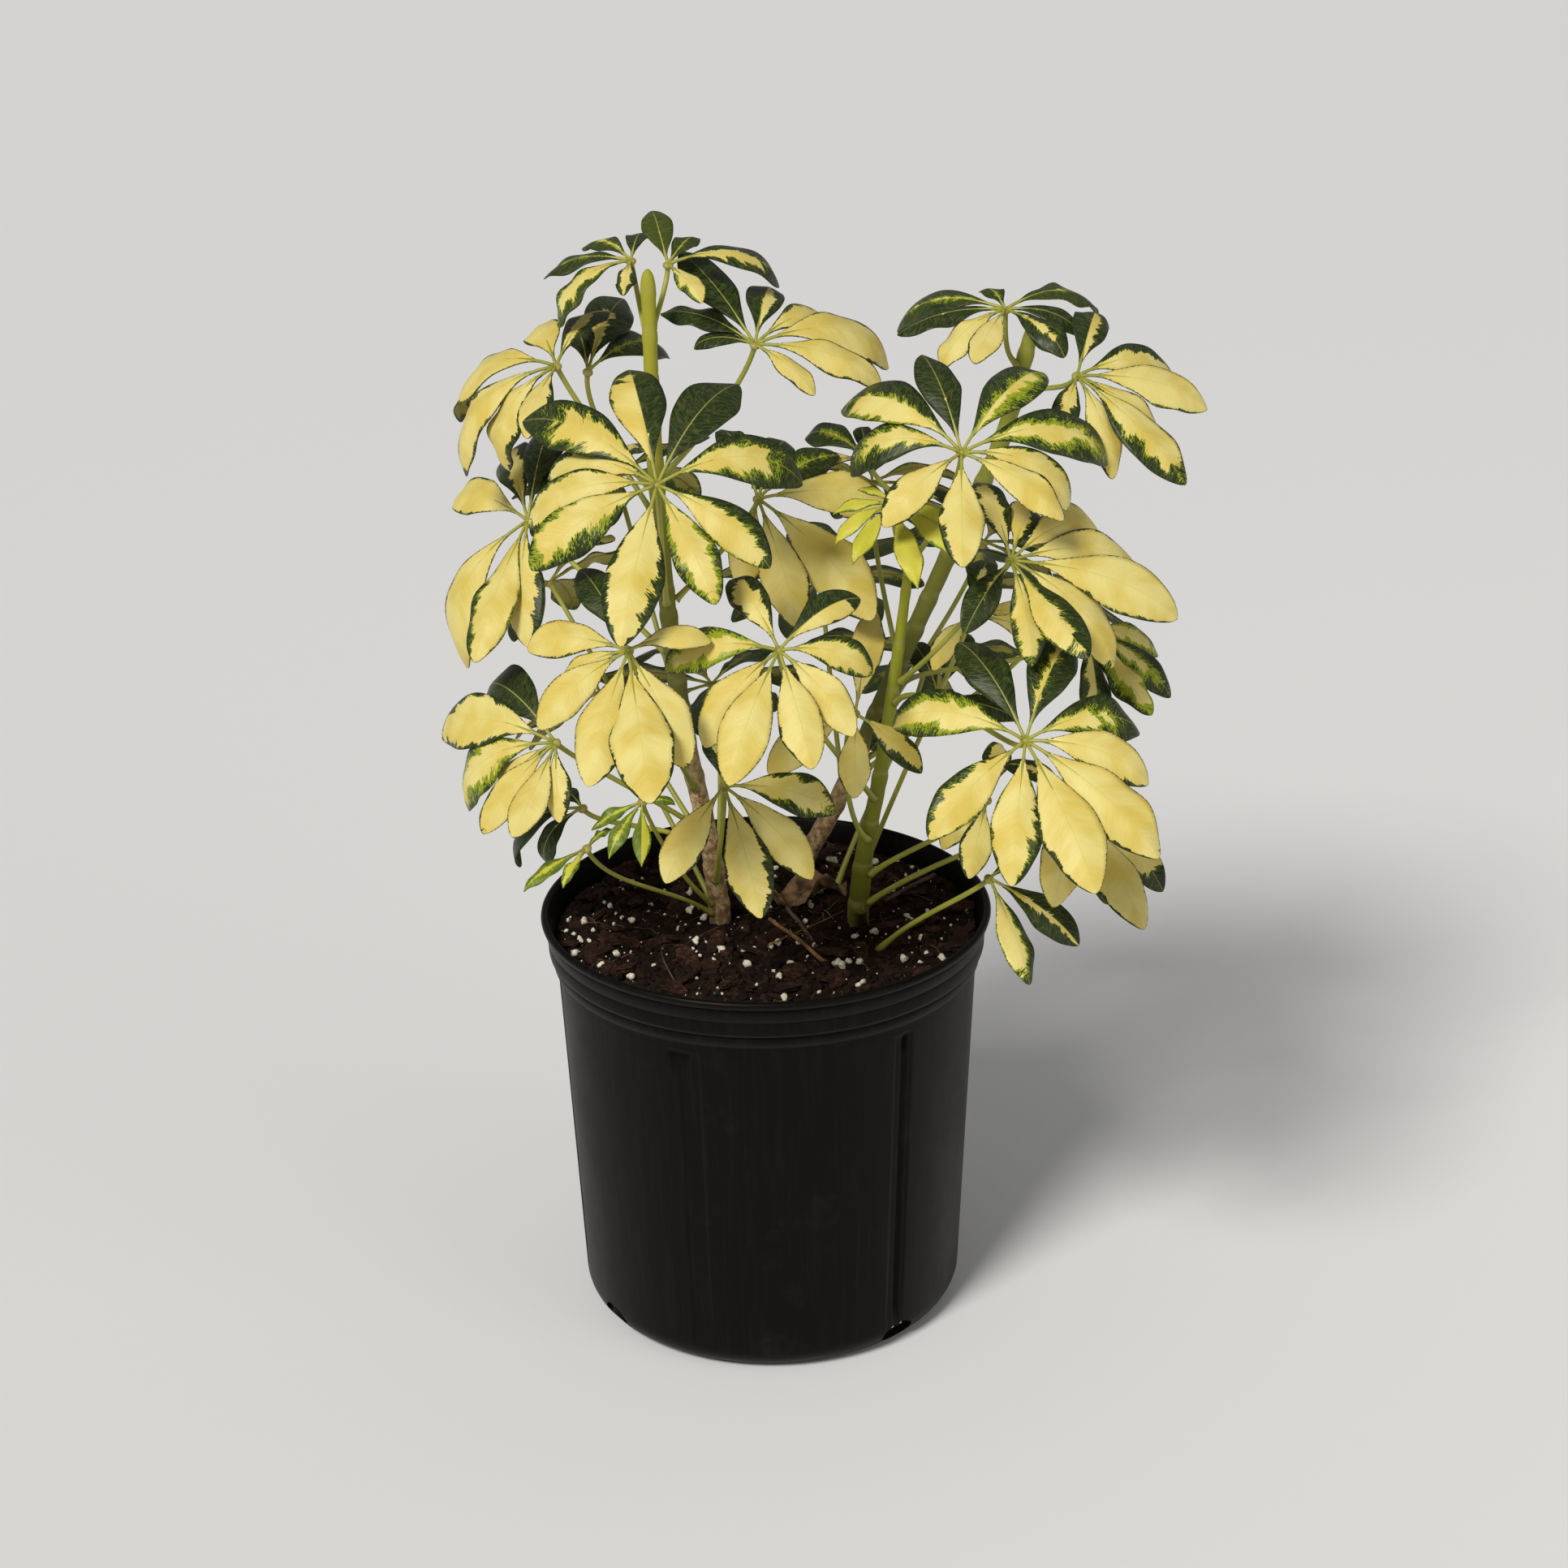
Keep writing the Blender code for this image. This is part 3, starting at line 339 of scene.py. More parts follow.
marbling = make_marbling()
print(f"the marbling group has {len(marbling.nodes)} nodes")

# %% [markdown]
# The upper side of a leaflet is satin, a little glossier where it is green. The under side is duller,
# because it has no wax; its green is paler, while its cream and lime are darker, which is painted shade.
# Both are the same group with other colours, and so is the young leaf, whose green has yet to darken.

# %% Leaf materials
LEAF_COLOURS = {
    "leaf_upper": ((0.82, 0.71, 0.250), (0.70, 0.53, 0.095), (0.029, 0.048, 0.010), (0.014, 0.027, 0.006),
                   (0.060, 0.085, 0.010), (0.33, 0.40, 0.014)),
    # The under side's cream, golden and lime are darker than the upper side's: painted shade.
    "leaf_under": ((0.52, 0.45, 0.13), (0.40, 0.33, 0.06), (0.07, 0.10, 0.030), (0.040, 0.065, 0.018),
                   (0.10, 0.14, 0.03), (0.26, 0.31, 0.04)),
    "young_upper": ((0.68, 0.62, 0.08), (0.56, 0.54, 0.035), (0.17, 0.24, 0.02), (0.10, 0.17, 0.02),
                    (0.20, 0.28, 0.03), (0.52, 0.53, 0.04)),
    "young_under": ((0.50, 0.52, 0.12), (0.42, 0.46, 0.08), (0.20, 0.26, 0.06), (0.16, 0.21, 0.05),
                    (0.20, 0.26, 0.06), (0.36, 0.42, 0.06)),
}
LEAF_GLOSS = {
    "leaf_upper": (0.48, 0.38),
    "leaf_under": (0.60, 0.55),
    "young_upper": (0.42, 0.38),
    "young_under": (0.50, 0.50),
}


def leaf_material(name):
    """One side of a leaf."""
    made, tree, shader = new_material(name, 0.4, 0.30)
    shader.inputs["Specular Tint"].default_value = (1.0, 0.97, 0.86, 1)
    group = add_node(tree, "Group", {"node_tree": marbling})
    for socket, colour in zip(group.inputs, LEAF_COLOURS[name]):
        socket.default_value = (*colour, 1)
    colour, greenness, relief = (Signal(socket) for socket in group.outputs)
    finish_material(shader, colour, relief, 0.0004, 0.35, mix_value(greenness, *LEAF_GLOSS[name]))
    return made


leaf_materials = {name: leaf_material(name) for name in LEAF_COLOURS}

# %% [markdown]
# ## Green stalks and brown bark
#
# The leafstalks are lime green, with a little red brown where they are old. The stems are green while
# they are young and turn to tan bark from the foot upwards, so the bark material is told the height at
# which each stem turns.

# %% Stalk and bark materials
def stalk_material():
    """Leafstalks and the short stalks of the leaflets."""
    made, tree, shader = new_material("leafstalk", 0.42)
    place = object_place(tree)
    colour = mix_colour(soft_step(cloud(place, 22.0), 0.35, 0.65), (0.29, 0.31, 0.035), (0.44, 0.44, 0.06))
    streak = cloud(stretched(place, (900, 900, 90)), 1.0)
    colour = mix_colour(streak * 0.25, colour, (0.30, 0.22, 0.05))
    finish_material(shader, colour, streak, 0.0003, 0.3)
    return made


def knob_material():
    """The knob of a leaf: green, with soft patches of warm orange."""
    made, tree, shader = new_material("knob", 0.5)
    blush = soft_step(cloud(object_place(tree), 420.0), 0.40, 0.62)
    finish_material(shader, mix_colour(blush, (0.34, 0.34, 0.06), (0.42, 0.30, 0.10)))
    return made


def bark_material(name, turns_brown, fully_green, green, young):
    """A stem: tan bark at the foot, green skin above, brightest at its tip."""
    made, tree, shader = new_material(name, 0.62, 0.3)
    place = object_place(tree)
    level = split(place)[2] + (cloud(place, 60.0) - 0.5) * 0.06
    cracks = cloud(stretched(place, (300, 300, 220)), 1.0, 4.0, 0.65)
    tan = mix_colour(soft_step(cracks, 0.38, 0.62), (0.27, 0.155, 0.070), (0.66, 0.47, 0.25))
    freckles = soft_step(cloud(stretched(place, (700, 700, 500)), 1.0, 1.0), 0.66, 0.72)
    tan = mix_colour(freckles, tan, (0.05, 0.025, 0.012))
    skin = mix_colour(soft_step(level, fully_green, fully_green + 0.18), green, young)
    streaks = cloud(stretched(place, (300, 300, 40)), 1.0, 3.0)
    skin = mix_colour(streaks * 0.35, skin, (0.12, 0.13, 0.02))
    colour = mix_colour(soft_step(level, turns_brown, fully_green), tan, skin)
    colour = mix_colour(read_attribute(tree, "scar", "Fac") * 0.42, colour, (0.40, 0.36, 0.13))
    finish_material(shader, colour, cracks, 0.0006, 0.45)
    return made


leafstalk = stalk_material()
knob = knob_material()
barks = {
    "left": bark_material("left_bark", 0.300, 0.370, (0.13, 0.13, 0.02), (0.42, 0.40, 0.03)),
    "right": bark_material("right_bark", 0.222, 0.246, (0.19, 0.20, 0.014), (0.36, 0.38, 0.022)),
    "rear": bark_material("rear_bark", 0.275, 0.335, (0.15, 0.15, 0.025), (0.34, 0.35, 0.04)),
}

# %% [markdown]
# ## Rods
#
# Stems, leafstalks, midribs and fibres are all rods. A straight rod is a cylinder whose long edges are
# cut into rings, and it is then bent: each ring is moved to its point on a line and turned to face
# along it. Carrying the first ring's sideways direction from ring to ring keeps the rod from twisting.

# %% Rod helpers
templates = {}


def kept_mesh(key, make):
    """A mesh that is made once and then copied into every piece that needs it."""
    if key not in templates:
        templates[key] = mesh_from("_".join(str(part) for part in key), make())
    return templates[key]


def straight_rod(rings, sides):
    """A rod of unit radius and height on +Z, cut into rings."""
    bm = bmesh.new()
    raised = Matrix.Translation((0, 0, 0.5))
    bmesh.ops.create_cone(bm, cap_ends=True, segments=sides, radius1=1, radius2=1, depth=1, matrix=raised)
    upright = [edge for edge in bm.edges if abs(edge.verts[0].co.z - edge.verts[1].co.z) > 0.5]
    bmesh.ops.subdivide_edges(bm, edges=upright, cuts=rings - 1, use_grid_fill=True)
    return bm


def paste(bm, mesh, slot):
    """Copies a mesh into a bmesh and returns the new points."""
    known_points, known_faces = set(bm.verts), set(bm.faces)
    bm.from_mesh(mesh)
    for face in bm.faces:
        if face not in known_faces:
            face.material_index = slot
            face.smooth = True
    return [vert for vert in bm.verts if vert not in known_points]


def line_frames(line):
    """Two sideways directions at each point of a line, carried along it without a twist."""
    frames = []
    side = None
    for index, point in enumerate(line):
        along = (line[min(index + 1, len(line) - 1)] - line[max(index - 1, 0)]).normalized()
        if side is None:
            side = along.orthogonal()
        side = (side - along * side.dot(along)).normalized()
        frames.append((side, along.cross(side)))
    return frames


def add_rod(bm, line, radii, sides=8, slot=0):
    """A rod along a line, with its own radius at each point."""
    rings = len(line) - 1
    mesh = kept_mesh(("rod", rings, sides), lambda: straight_rod(rings, sides))
    frames = line_frames(line)
    for vert in paste(bm, mesh, slot):
        ring = round(vert.co.z * rings)
        side, other = frames[ring]
        vert.co = line[ring] + (side * vert.co.x + other * vert.co.y) * radii[ring]


def bezier(points, t):
    """A point on the curve that four control points shape."""
    a, b, c, d = points
    return a * (1 - t) ** 3 + b * 3 * t * (1 - t) ** 2 + c * 3 * t * t * (1 - t) + d * t**3


def smooth_line(points, count):
    """Points read at even steps from a smooth curve through the given ones."""
    padded = [points[0] * 2 - points[1], *points, points[-1] * 2 - points[-2]]
    line = []
    for step in range(count + 1):
        place = step / count * (len(points) - 1)
        span = min(int(place), len(points) - 2)
        t = place - span
        a, b, c, d = padded[span : span + 4]
        line.append(
            0.5 * (2 * b + (c - a) * t + (2 * a - 5 * b + 4 * c - d) * t * t + (3 * b - a - 3 * c + d) * t**3)
        )
    return line


def kept_within_one(value):
    """A number kept between nothing and one."""
    return min(max(value, 0), 1)


def metres(point):
    """A point given in millimetres."""
    return Vector(point) / 1000


def smooth_faces(bm):
    """Has all faces shaded smoothly."""
    for face in bm.faces:
        face.smooth = True


def update_faces(bm):
    """Works out the faces' directions afresh."""
    for face in bm.faces:
        face.normal_update()


def mesh_from(name, bm):
    """A mesh made of a bmesh, which isn't needed any more."""
    mesh = bpy.data.meshes.new(name)
    bm.to_mesh(mesh)
    bm.free()
    return mesh


def add_piece(name, bm, materials, replaced=()):
    """Makes a piece of a bmesh, rides it on the plant and lets it stand for its solids."""
    bmesh.ops.recalc_face_normals(bm, faces=bm.faces)
    mesh = mesh_from(name, bm)
    for material in materials:
        mesh.materials.append(material)
    made = add_object(name, mesh)
    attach(made, "root")
    if replaced:
        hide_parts(*replaced)
    return made


# %% [markdown]
# ## The plan of the plant
#
# Three stems grow from the soil. Each is a short list of points in millimetres, with its radius at the
# foot and at the tip.
#
# A leaf is told by the place of its knob, the way it faces as a turn to the right and a rise in
# degrees, and its leaflets. It grows from the stem in its name, unless another stem or a root in the
# soil is given. Its node is the height in millimetres at which it leaves the stem, where that was seen.
#
# A leaflet is a clock angle, a length in millimetres and, unless it hangs as usual, a sag in degrees,
# then its marking in tenths: the green share of its left half and right half, with its tip pointing up,
# the green share of its tip, and its lime. Lime above ten makes the green itself fresh.

# %% Stems and leaves in numbers
STEMS = {
    "left": dict(
        line=(
            (-26, 0, 238), (-31, -8, 285), (-42, -14, 350), (-50, -16, 430), (-54, -14, 510), (-55, -8, 598),
        ),
        foot_radius=6.4,
        tip_radius=4.0,
    ),
    "right": dict(
        line=((52, -4, 238), (56, -13, 280), (64, -20, 325), (73, -21, 390), (81, -22, 456)),
        foot_radius=6.4,
        tip_radius=2.6,
    ),
    "rear": dict(
        line=((22, 66, 238), (42, 60, 278), (72, 56, 350), (106, 54, 430), (134, 52, 495), (149, 52, 552)),
        foot_radius=6.0,
        tip_radius=4.6,
    ),
}
# Markings of the leaves at the back: their own pattern, chosen mostly green partly as painted shade for the
# dark inside of the plant.
USUAL_MARKINGS = (
    (13, 13, 0, 0), (9, 9, 3, 4), (12, 3, 2, 2), (3, 12, 2, 3), (6, 8, 2, 4), (13, 12, 0, 0), (8, 6, 3, 5),
    (10, 10, 4, 4), (3, 4, 2, 5), (11, 12, 4, 3), (1, 2, 0, 2), (6, 2, 2, 4),
)
GREEN = (13, 13, 0, 0)
CREAM = (0, 0, 0, 0)
USUAL_SAG = 40
SAG_AT_TOP = 15
SAG_AT_SIDE = 20


def with_sag(clock, length, sag=None):
    """A leaflet's row; unless its sag is given, it hangs as its clock angle makes it."""
    if sag is None:
        angle = math.radians(clock)
        sag = USUAL_SAG + SAG_AT_TOP * math.cos(angle) + SAG_AT_SIDE * abs(math.sin(angle))
    return clock, length, sag


def even_fan(first, count, length, sag, seed):
    """Leaflets spread evenly round a knob, each a little different, with usual markings."""
    draw = random.Random(seed)
    step = 360 / count
    rows = []
    for index in range(count):
        clock = first + index * step + draw.uniform(-7, 7)
        rows.append((clock, length * draw.uniform(0.86, 1.10), sag + draw.uniform(-10, 14)))
    return tuple(row + draw.choice(USUAL_MARKINGS) for row in rows)


LEAVES = {
    "left_leaf_01": dict(
        hub=(-50, -100, 520), faces=(0, 46),
        fan=((350, 85, 1, 12, 3, 3), (25, 85, *GREEN), (62, 90, 90, 6, 5, 4, 5),
             (120, 75, 6, 1, 2, 4), (155, 75, 4, 4, 1, 7), (192, 95, 3, 2, 0, 1), (243, 80, 6, 2, 2, 6),
             (274, 78, 80, 3, 2, 1, 3), (286, 70, 1, 4, 1, 3), (318, 92, 4, 5, 4, 4)),
    ),
    "left_leaf_02": dict(
        hub=(-65, -150, 450), faces=(-5, 45),
        fan=((192, 77, 1, 0, 0, 0), (148, 72, 0, 1, 0, 0), (168, 92, 1, 1, 0, 0), (233, 62, *CREAM),
             (287, 58, 1, 0, 0, 1), (272, 64, 1, 1, 0, 1), (335, 62, *GREEN), (65, 45, *CREAM)),
    ),
    "right_leaf_01": dict(
        hub=(10, -140, 445), faces=(0, 42),
        fan=((337, 55, 3, 6, 3, 2), (42, 58, 12, 1, 3, 0), (85, 55, 80, 5, 2, 1, 4),
             (133, 60, *CREAM), (165, 68, 0, 1, 0, 0), (193, 78, *CREAM), (218, 65, 1, 0, 0, 1),
             (283, 66, 80, 5, 7, 2, 9)),
    ),
    "right_leaf_02": dict(
        hub=(105, -70, 525), faces=(0, 50),
        fan=((320, 92, 85, 2, 11, 3, 5), (337, 70, *GREEN), (31, 84, 12, 7, 3, 8),
             (66, 98, 90, 9, 7, 3, 7), (93, 75, 85, 3, 1, 1, 5), (120, 66, 1, 0, 0, 0),
             (183, 72, 0, 2, 0, 1), (230, 60, 1, 2, 0, 1), (293, 75, 100, 8, 4, 4, 5)),
    ),
    "right_leaf_03": dict(
        hub=(135, -130, 390), faces=(0, 44), node=372,
        fan=((338, 75, *GREEN), (18, 74, 8, 11, 3, 4), (62, 74, 85, 9, 5, 5, 6),
             (95, 72, 0, 2, 0, 2), (128, 94, 0, 1, 0, 0), (157, 92, 0, 1, 0, 0), (178, 80, 3, 1, 0, 3),
             (230, 74, 1, 4, 0, 4), (300, 82, 85, 5, 6, 0, 7)),
    ),
    "right_leaf_04": dict(
        hub=(130, -80, 470), faces=(20, 46), node=384,
        fan=((0, 57, 4, 6, 2, 1), (14, 56, 1, 8, 1, 2), (58, 76, 80, 0, 1, 0, 3), (85, 80, 1, 0, 0, 1),
             (110, 98, 0, 1, 0, 1), (125, 82, 0, 0, 1, 2), (148, 70, 9, 1, 2, 3), (167, 60, 6, 3, 2, 5),
             (232, 52, 11, 9, 6, 3)),
    ),
    "left_leaf_03": dict(
        hub=(-20, -100, 355), faces=(0, 40), node=262,
        fan=((215, 62, 1, 0, 0, 0), (163, 76, 3, 1, 0, 1), (137, 70, 0, 1, 0, 1), (90, 64, 3, 4, 2, 4),
             (350, 38, 10, 3, 0, 0)),
    ),
    "right_leaf_05": dict(
        hub=(70, -60, 495), faces=(0, 60), young=True, node=446,
        fan=((318, 26, 2, 3, 0, 2), (62, 28, *CREAM), (105, 38, *CREAM), (135, 46, 0, 2, 0, 3),
             (170, 62, 1, 0, 0, 2), (212, 46, *CREAM), (235, 40, *CREAM), (258, 33, 2, 2, 0, 2)),
    ),
    "left_leaf_04": dict(
        hub=(-105, 0, 555), faces=(-40, 60),
        fan=((266, 96, 95, 1, 1, 1, 2), (225, 92, 100, 1, 2, 1, 2), (205, 74, 95, 3, 0, 0, 1),
             (160, 55, 4, 1, 0, 1), (312, 62, 1, 1, 0, 0), (345, 60, 7, 7, 2, 1)),
    ),
    "left_leaf_05": dict(
        hub=(-45, 15, 605), faces=(10, 70), node=578,
        fan=((357, 48, 20, 12, 13, 0, 18), (32, 36, 40, 13, 12, 0, 14), (76, 75, 80, 9, 5, 4, 2),
             (160, 38, 1, 4, 0, 6)),
    ),
    "left_leaf_06": dict(
        hub=(-65, 25, 605), faces=(-25, 70), node=570,
        fan=((305, 50, 10, 9, 3, 14), (272, 54, 13, 13, 0, 11), (228, 60, 95, 6, 5, 3, 15),
             (160, 34, 5, 5, 0, 3), (345, 40, *GREEN)),
    ),
    "left_leaf_07": dict(
        hub=(0, 0, 565), faces=(20, 60),
        fan=((24, 66, 12, 6, 2, 2), (50, 82, 80, 4, 4, 3, 3), (80, 95, 85, 1, 1, 0, 0),
             (112, 74, 1, 1, 0, 1), (150, 46, 0, 1, 0, 1), (298, 36, 70, *GREEN),
             (345, 75, 30, *GREEN), (318, 58, 60, *GREEN)),
    ),
    "rear_leaf_01": dict(
        hub=(135, 45, 570), faces=(-10, 70), node=540,
        fan=((285, 74, 80, 12, 11, 0, 13), (262, 62, 60, 11, 12, 0, 2), (240, 56, 0, 0, 0, 1),
             (192, 56, 0, 1, 0, 1), (130, 52, 9, 9, 3, 3), (50, 68, 85, 12, 12, 0, 14),
             (100, 48, 13, 12, 0, 0), (335, 34, 13, 12, 0, 12)),
    ),
    "rear_leaf_02": dict(
        hub=(170, 0, 545), faces=(30, 50), node=520,
        fan=((28, 66, 12, 6, 2, 2), (225, 42, 6, 5, 2, 2), (80, 72, 6, 1, 1, 1), (100, 80, 0, 1, 0, 2),
             (140, 62, 1, 6, 1, 3), (160, 84, 1, 5, 2, 4), (184, 64, 0, 2, 0, 4)),
    ),
    "left_leaf_08": dict(
        hub=(-125, 15, 465), faces=(-40, 45), node=400,
        fan=((285, 76, 1, 1, 0, 1), (208, 104, 95, 0, 1, 0, 0), (165, 90, 1, 3, 0, 4),
             (148, 78, 50, 4, 1, 0, 0), (320, 78, 8, 6, 2, 1), (345, 82, *GREEN),
             (8, 66, *GREEN)),
    ),
    "left_leaf_09": dict(
        hub=(-110, -60, 365), faces=(-25, 40), node=296,
        fan=((285, 92, 80, 2, 2, 1, 1), (302, 84, 70, *GREEN), (268, 86, 85, 5, 5, 2, 12),
             (252, 62, 70, *CREAM), (222, 64, 0, 1, 0, 0), (196, 60, *CREAM),
             (164, 46, 3, 0, 0, 1)),
    ),
    "left_leaf_10": dict(
        hub=(-95, -75, 310), faces=(-30, 60), young=True, node=238,
        fan=((212, 42, 30, 9, 9, 0, 5), (15, 20, 9, 9, 0, 5), (185, 28, 5, 5, 0, 5)),
    ),
    "left_leaf_11": dict(
        hub=(-65, -60, 330), faces=(-10, 50), young=True, node=246,
        fan=((236, 32, 9, 9, 0, 5), (206, 38, 9, 9, 0, 5), (170, 40, 2, 12, 0, 3), (75, 20, 9, 9, 0, 5)),
    ),
    "left_leaf_12": dict(
        hub=(-100, -20, 310), faces=(-40, 55), node=282,
        fan=((245, 72, 105, *GREEN), (225, 46, 70, 13, 13, 0, 2), (300, 26, *GREEN)),
    ),
    "right_leaf_06": dict(
        root=(66, -39), hub=(120, -90, 295), faces=(35, 45),
        fan=((190, 64, 7, 1, 2, 5), (142, 62, 11, 7, 0, 0), (70, 34, 9, 9, 0, 6)),
    ),
    "right_leaf_07": dict(
        hub=(120, -65, 330), faces=(10, 50), node=266,
        fan=((203, 50, 1, 2, 0, 1), (235, 40, 1, 1, 0, 1), (20, 44, 4, 4, 0, 1)),
    ),
    "right_leaf_08": dict(
        hub=(165, -65, 330), faces=(30, 45), node=246,
        fan=((150, 72, 1, 0, 3, 1), (162, 64, 2, 5, 2, 5), (176, 84, 0, 1, 0, 0), (196, 70, *CREAM),
             (60, 44, 5, 5, 2, 3), (330, 44, 9, 9, 0, 2)),
    ),
    "rear_leaf_03": dict(
        stem="left", hub=(0, 0, 480), faces=(10, 45), node=430,
        fan=((350, 56, *GREEN), (12, 56, *GREEN), (48, 60, 12, 12, 0, 11),
             (82, 76, 0, 1, 0, 0), (140, 94, *CREAM), (172, 82, 1, 0, 0, 0), (200, 56, *CREAM)),
    ),
    "rear_leaf_04": dict(
        hub=(175, -20, 410), faces=(35, 45), node=352,
        fan=((142, 62, 9, 8, 4, 8), (165, 62, 2, 8, 2, 9), (188, 60, 12, 6, 0, 4), (112, 52, 5, 6, 2, 8),
             (30, 50, 12, 12, 0, 12)),
    ),
    "right_leaf_09": dict(
        root=(53, 40), hub=(115, 5, 410), faces=(10, 50),
        fan=((132, 64, *CREAM), (228, 42, 1, 1, 0, 0), (100, 52, 2, 2, 0, 1), (20, 48, 10, 10, 0, 2)),
    ),
    "right_leaf_10": dict(
        hub=(50, -50, 375), faces=(0, 45), node=290,
        fan=((128, 50, 2, 6, 2, 2), (15, 62, 30, 0, 1, 0, 1), (203, 50, 0, 1, 0, 0),
             (228, 60, *CREAM)),
    ),
    "rear_leaf_11": dict(
        hub=(100, 50, 345), faces=(0, 45), node=296,
        fan=((345, 44, *GREEN), (8, 52, *GREEN), (82, 48, *GREEN),
             (215, 52, *GREEN)),
    ),
    "left_leaf_17": dict(
        hub=(-90, 25, 545), faces=(25, 60), node=478,
        fan=((32, 76, 50, 8, 9, 5, 1), (48, 74, 60, 12, 13, 0, 8), (15, 44, *GREEN)),
    ),
    "rear_leaf_10": dict(
        hub=(60, 35, 490), faces=(-10, 50), node=440,
        fan=((312, 52, 80, 12, 11, 0, 12), (268, 58, 2, 2, 0, 3), (340, 30, *GREEN)),
    ),
    "left_leaf_13": dict(hub=(-80, 75, 470), faces=(206, 50), fan=even_fan(18, 6, 72, 44, 13)),
    "rear_leaf_05": dict(hub=(65, 120, 450), faces=(172, 52), fan=even_fan(0, 7, 76, 44, 7)),
    "rear_leaf_06": dict(hub=(130, 130, 410), faces=(150, 48), fan=even_fan(30, 6, 74, 44, 9)),
    "rear_leaf_07": dict(hub=(35, 140, 385), faces=(186, 46), fan=even_fan(12, 7, 76, 42, 8)),
    "rear_leaf_08": dict(root=(42, 46), hub=(95, 105, 345), faces=(166, 44), fan=even_fan(5, 6, 70, 42, 10)),
    "left_leaf_14": dict(hub=(-120, 85, 405), faces=(225, 46), fan=even_fan(0, 6, 62, 44, 14)),
    "left_leaf_15": dict(hub=(-30, 115, 330), faces=(196, 44), fan=even_fan(22, 7, 72, 42, 15)),
    "left_leaf_16": dict(hub=(-95, 105, 330), faces=(222, 46), fan=even_fan(40, 6, 64, 44, 16)),
    "rear_leaf_09": dict(hub=(170, 90, 390), faces=(130, 46), fan=even_fan(20, 6, 64, 44, 5)),
}
for name, leaf in LEAVES.items():
    leaf.setdefault("stem", name.split("_")[0])
print(f"{len(LEAVES)} leaves with {sum(len(leaf['fan']) for leaf in LEAVES.values())} leaflets")

# %% [markdown]
# ## How a leaflet hangs
#
# A leaflet starts out of its knob at a small lift and then arches over under its own weight, more and
# more towards the tip. The arch is walked in small steps: at each, the direction turns a little about
# a hinge, and the place moves on. The solids were made by the same rule, so the fine leaflets lie
# where the plain ones do.

# %% The leaflet's arch
BLADE_LIFT = 16
ARCH_STEPS = 24
ARCH_POWER = 1.25
DOWNWARD_PULL = 0.7
BACKWARD_PULL = 0.5


def leaf_axes(faces):
    """Outward, upward and rightward directions of a leaf that faces this way."""
    turn, rise = (math.radians(angle) for angle in faces)
    outward = Vector((math.sin(turn) * math.cos(rise), -math.cos(turn) * math.cos(rise), math.sin(rise)))
    sideways = Vector((math.cos(turn), math.sin(turn), 0))
    return outward, outward.cross(sideways), sideways


def leaflet_frames(hub, faces, clock, length, sag, shares):
    """Place, direction, upper side and right side of a leaflet at shares of its length."""
    outward, upward, sideways = leaf_axes(faces)
    angle, lift = math.radians(clock), math.radians(BLADE_LIFT)
    radial = upward * math.cos(angle) + sideways * math.sin(angle)
    start = radial * math.cos(lift) + outward * math.sin(lift)
    pull = Vector((0, 0, -DOWNWARD_PULL)) - outward * BACKWARD_PULL
    pull = (pull - start * pull.dot(start)).normalized()
    hinge = start.cross(pull)
    top = (outward - start * outward.dot(start)).normalized()
    place, along = Vector(hub), 0.0
    frames = []
    for share in shares:
        while along < share - 1e-6:
            step = min(1 / ARCH_STEPS, share - along)
            middle = math.radians(sag) * (along + step / 2) ** ARCH_POWER
            place = place + Quaternion(hinge, middle) @ start * (length * step)
            along += step
        turn = Quaternion(hinge, math.radians(sag) * share**ARCH_POWER)
        direction, upper = turn @ start, turn @ top
        frames.append((place.copy(), direction, upper, direction.cross(upper)))
    return frames


# %% [markdown]
# Where two leaves met, the solids' leaflets were nudged apart in small steps, and a few were shortened.
# The fine leaflets have to follow, so the same steps and lengths are tried here until the tip falls on a
# corner of the plain solid.

# %% Find each leaflet's place on its solid
TIP_MATCH = 0.0002
TRIED_LENGTHS = (1.0, 0.84, 0.7)
NUDGE_SIZES = (6, 12, 18, 26, 36)
NUDGE_WAYS = ((0, 1), (0, -1), (0.6, 0), (-0.6, 0), (0.6, 1), (-0.6, 1), (0.6, -1), (-0.6, -1))


def nudges():
    """The small changes of clock angle and sag, in the order in which they were tried."""
    yield 0, 0
    for size in NUDGE_SIZES:
        for swing, sag in NUDGE_WAYS:
            yield swing * size, sag * size


def corner_tree(node):
    """The corners of a plain solid, ready to be searched."""
    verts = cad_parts[node].data.vertices
    tree = KDTree(len(verts))
    for vert in verts:
        tree.insert(vert.co, vert.index)
    tree.balance()
    return tree


def fitted_row(leaf, row, corners):
    """A leaflet's clock angle, length and sag as its solid has them, or None if it was left out."""
    clock, length, sag = row
    hub = metres(leaf["hub"])
    for share in TRIED_LENGTHS:
        for swing, bend in nudges():
            tried = (clock + swing, length * share, sag + bend)
            walked = leaflet_frames(hub, leaf["faces"], tried[0], tried[1] / 1000, tried[2], (1.0,))
            if corners.find(walked[0][0])[2] < TIP_MATCH:
                return tried
    return None


# %% [markdown]
# ## The blade
#
# Seen flat, a leaflet is narrow at its stalk, widest a little past the middle and rounded at the tip,
# which one power of a sine gives. A young one is pointed, by a higher power. A grid is bent onto the
# arch: its columns go across, closer together near the midrib, and its rows go along, closer together
# at the tip. The halves droop either side of a sunken midrib, the edges wave a little, and no two
# leaflets are alike, because each draws its own waves, twist and curl. The sheet is then given its
# thickness with solidify.

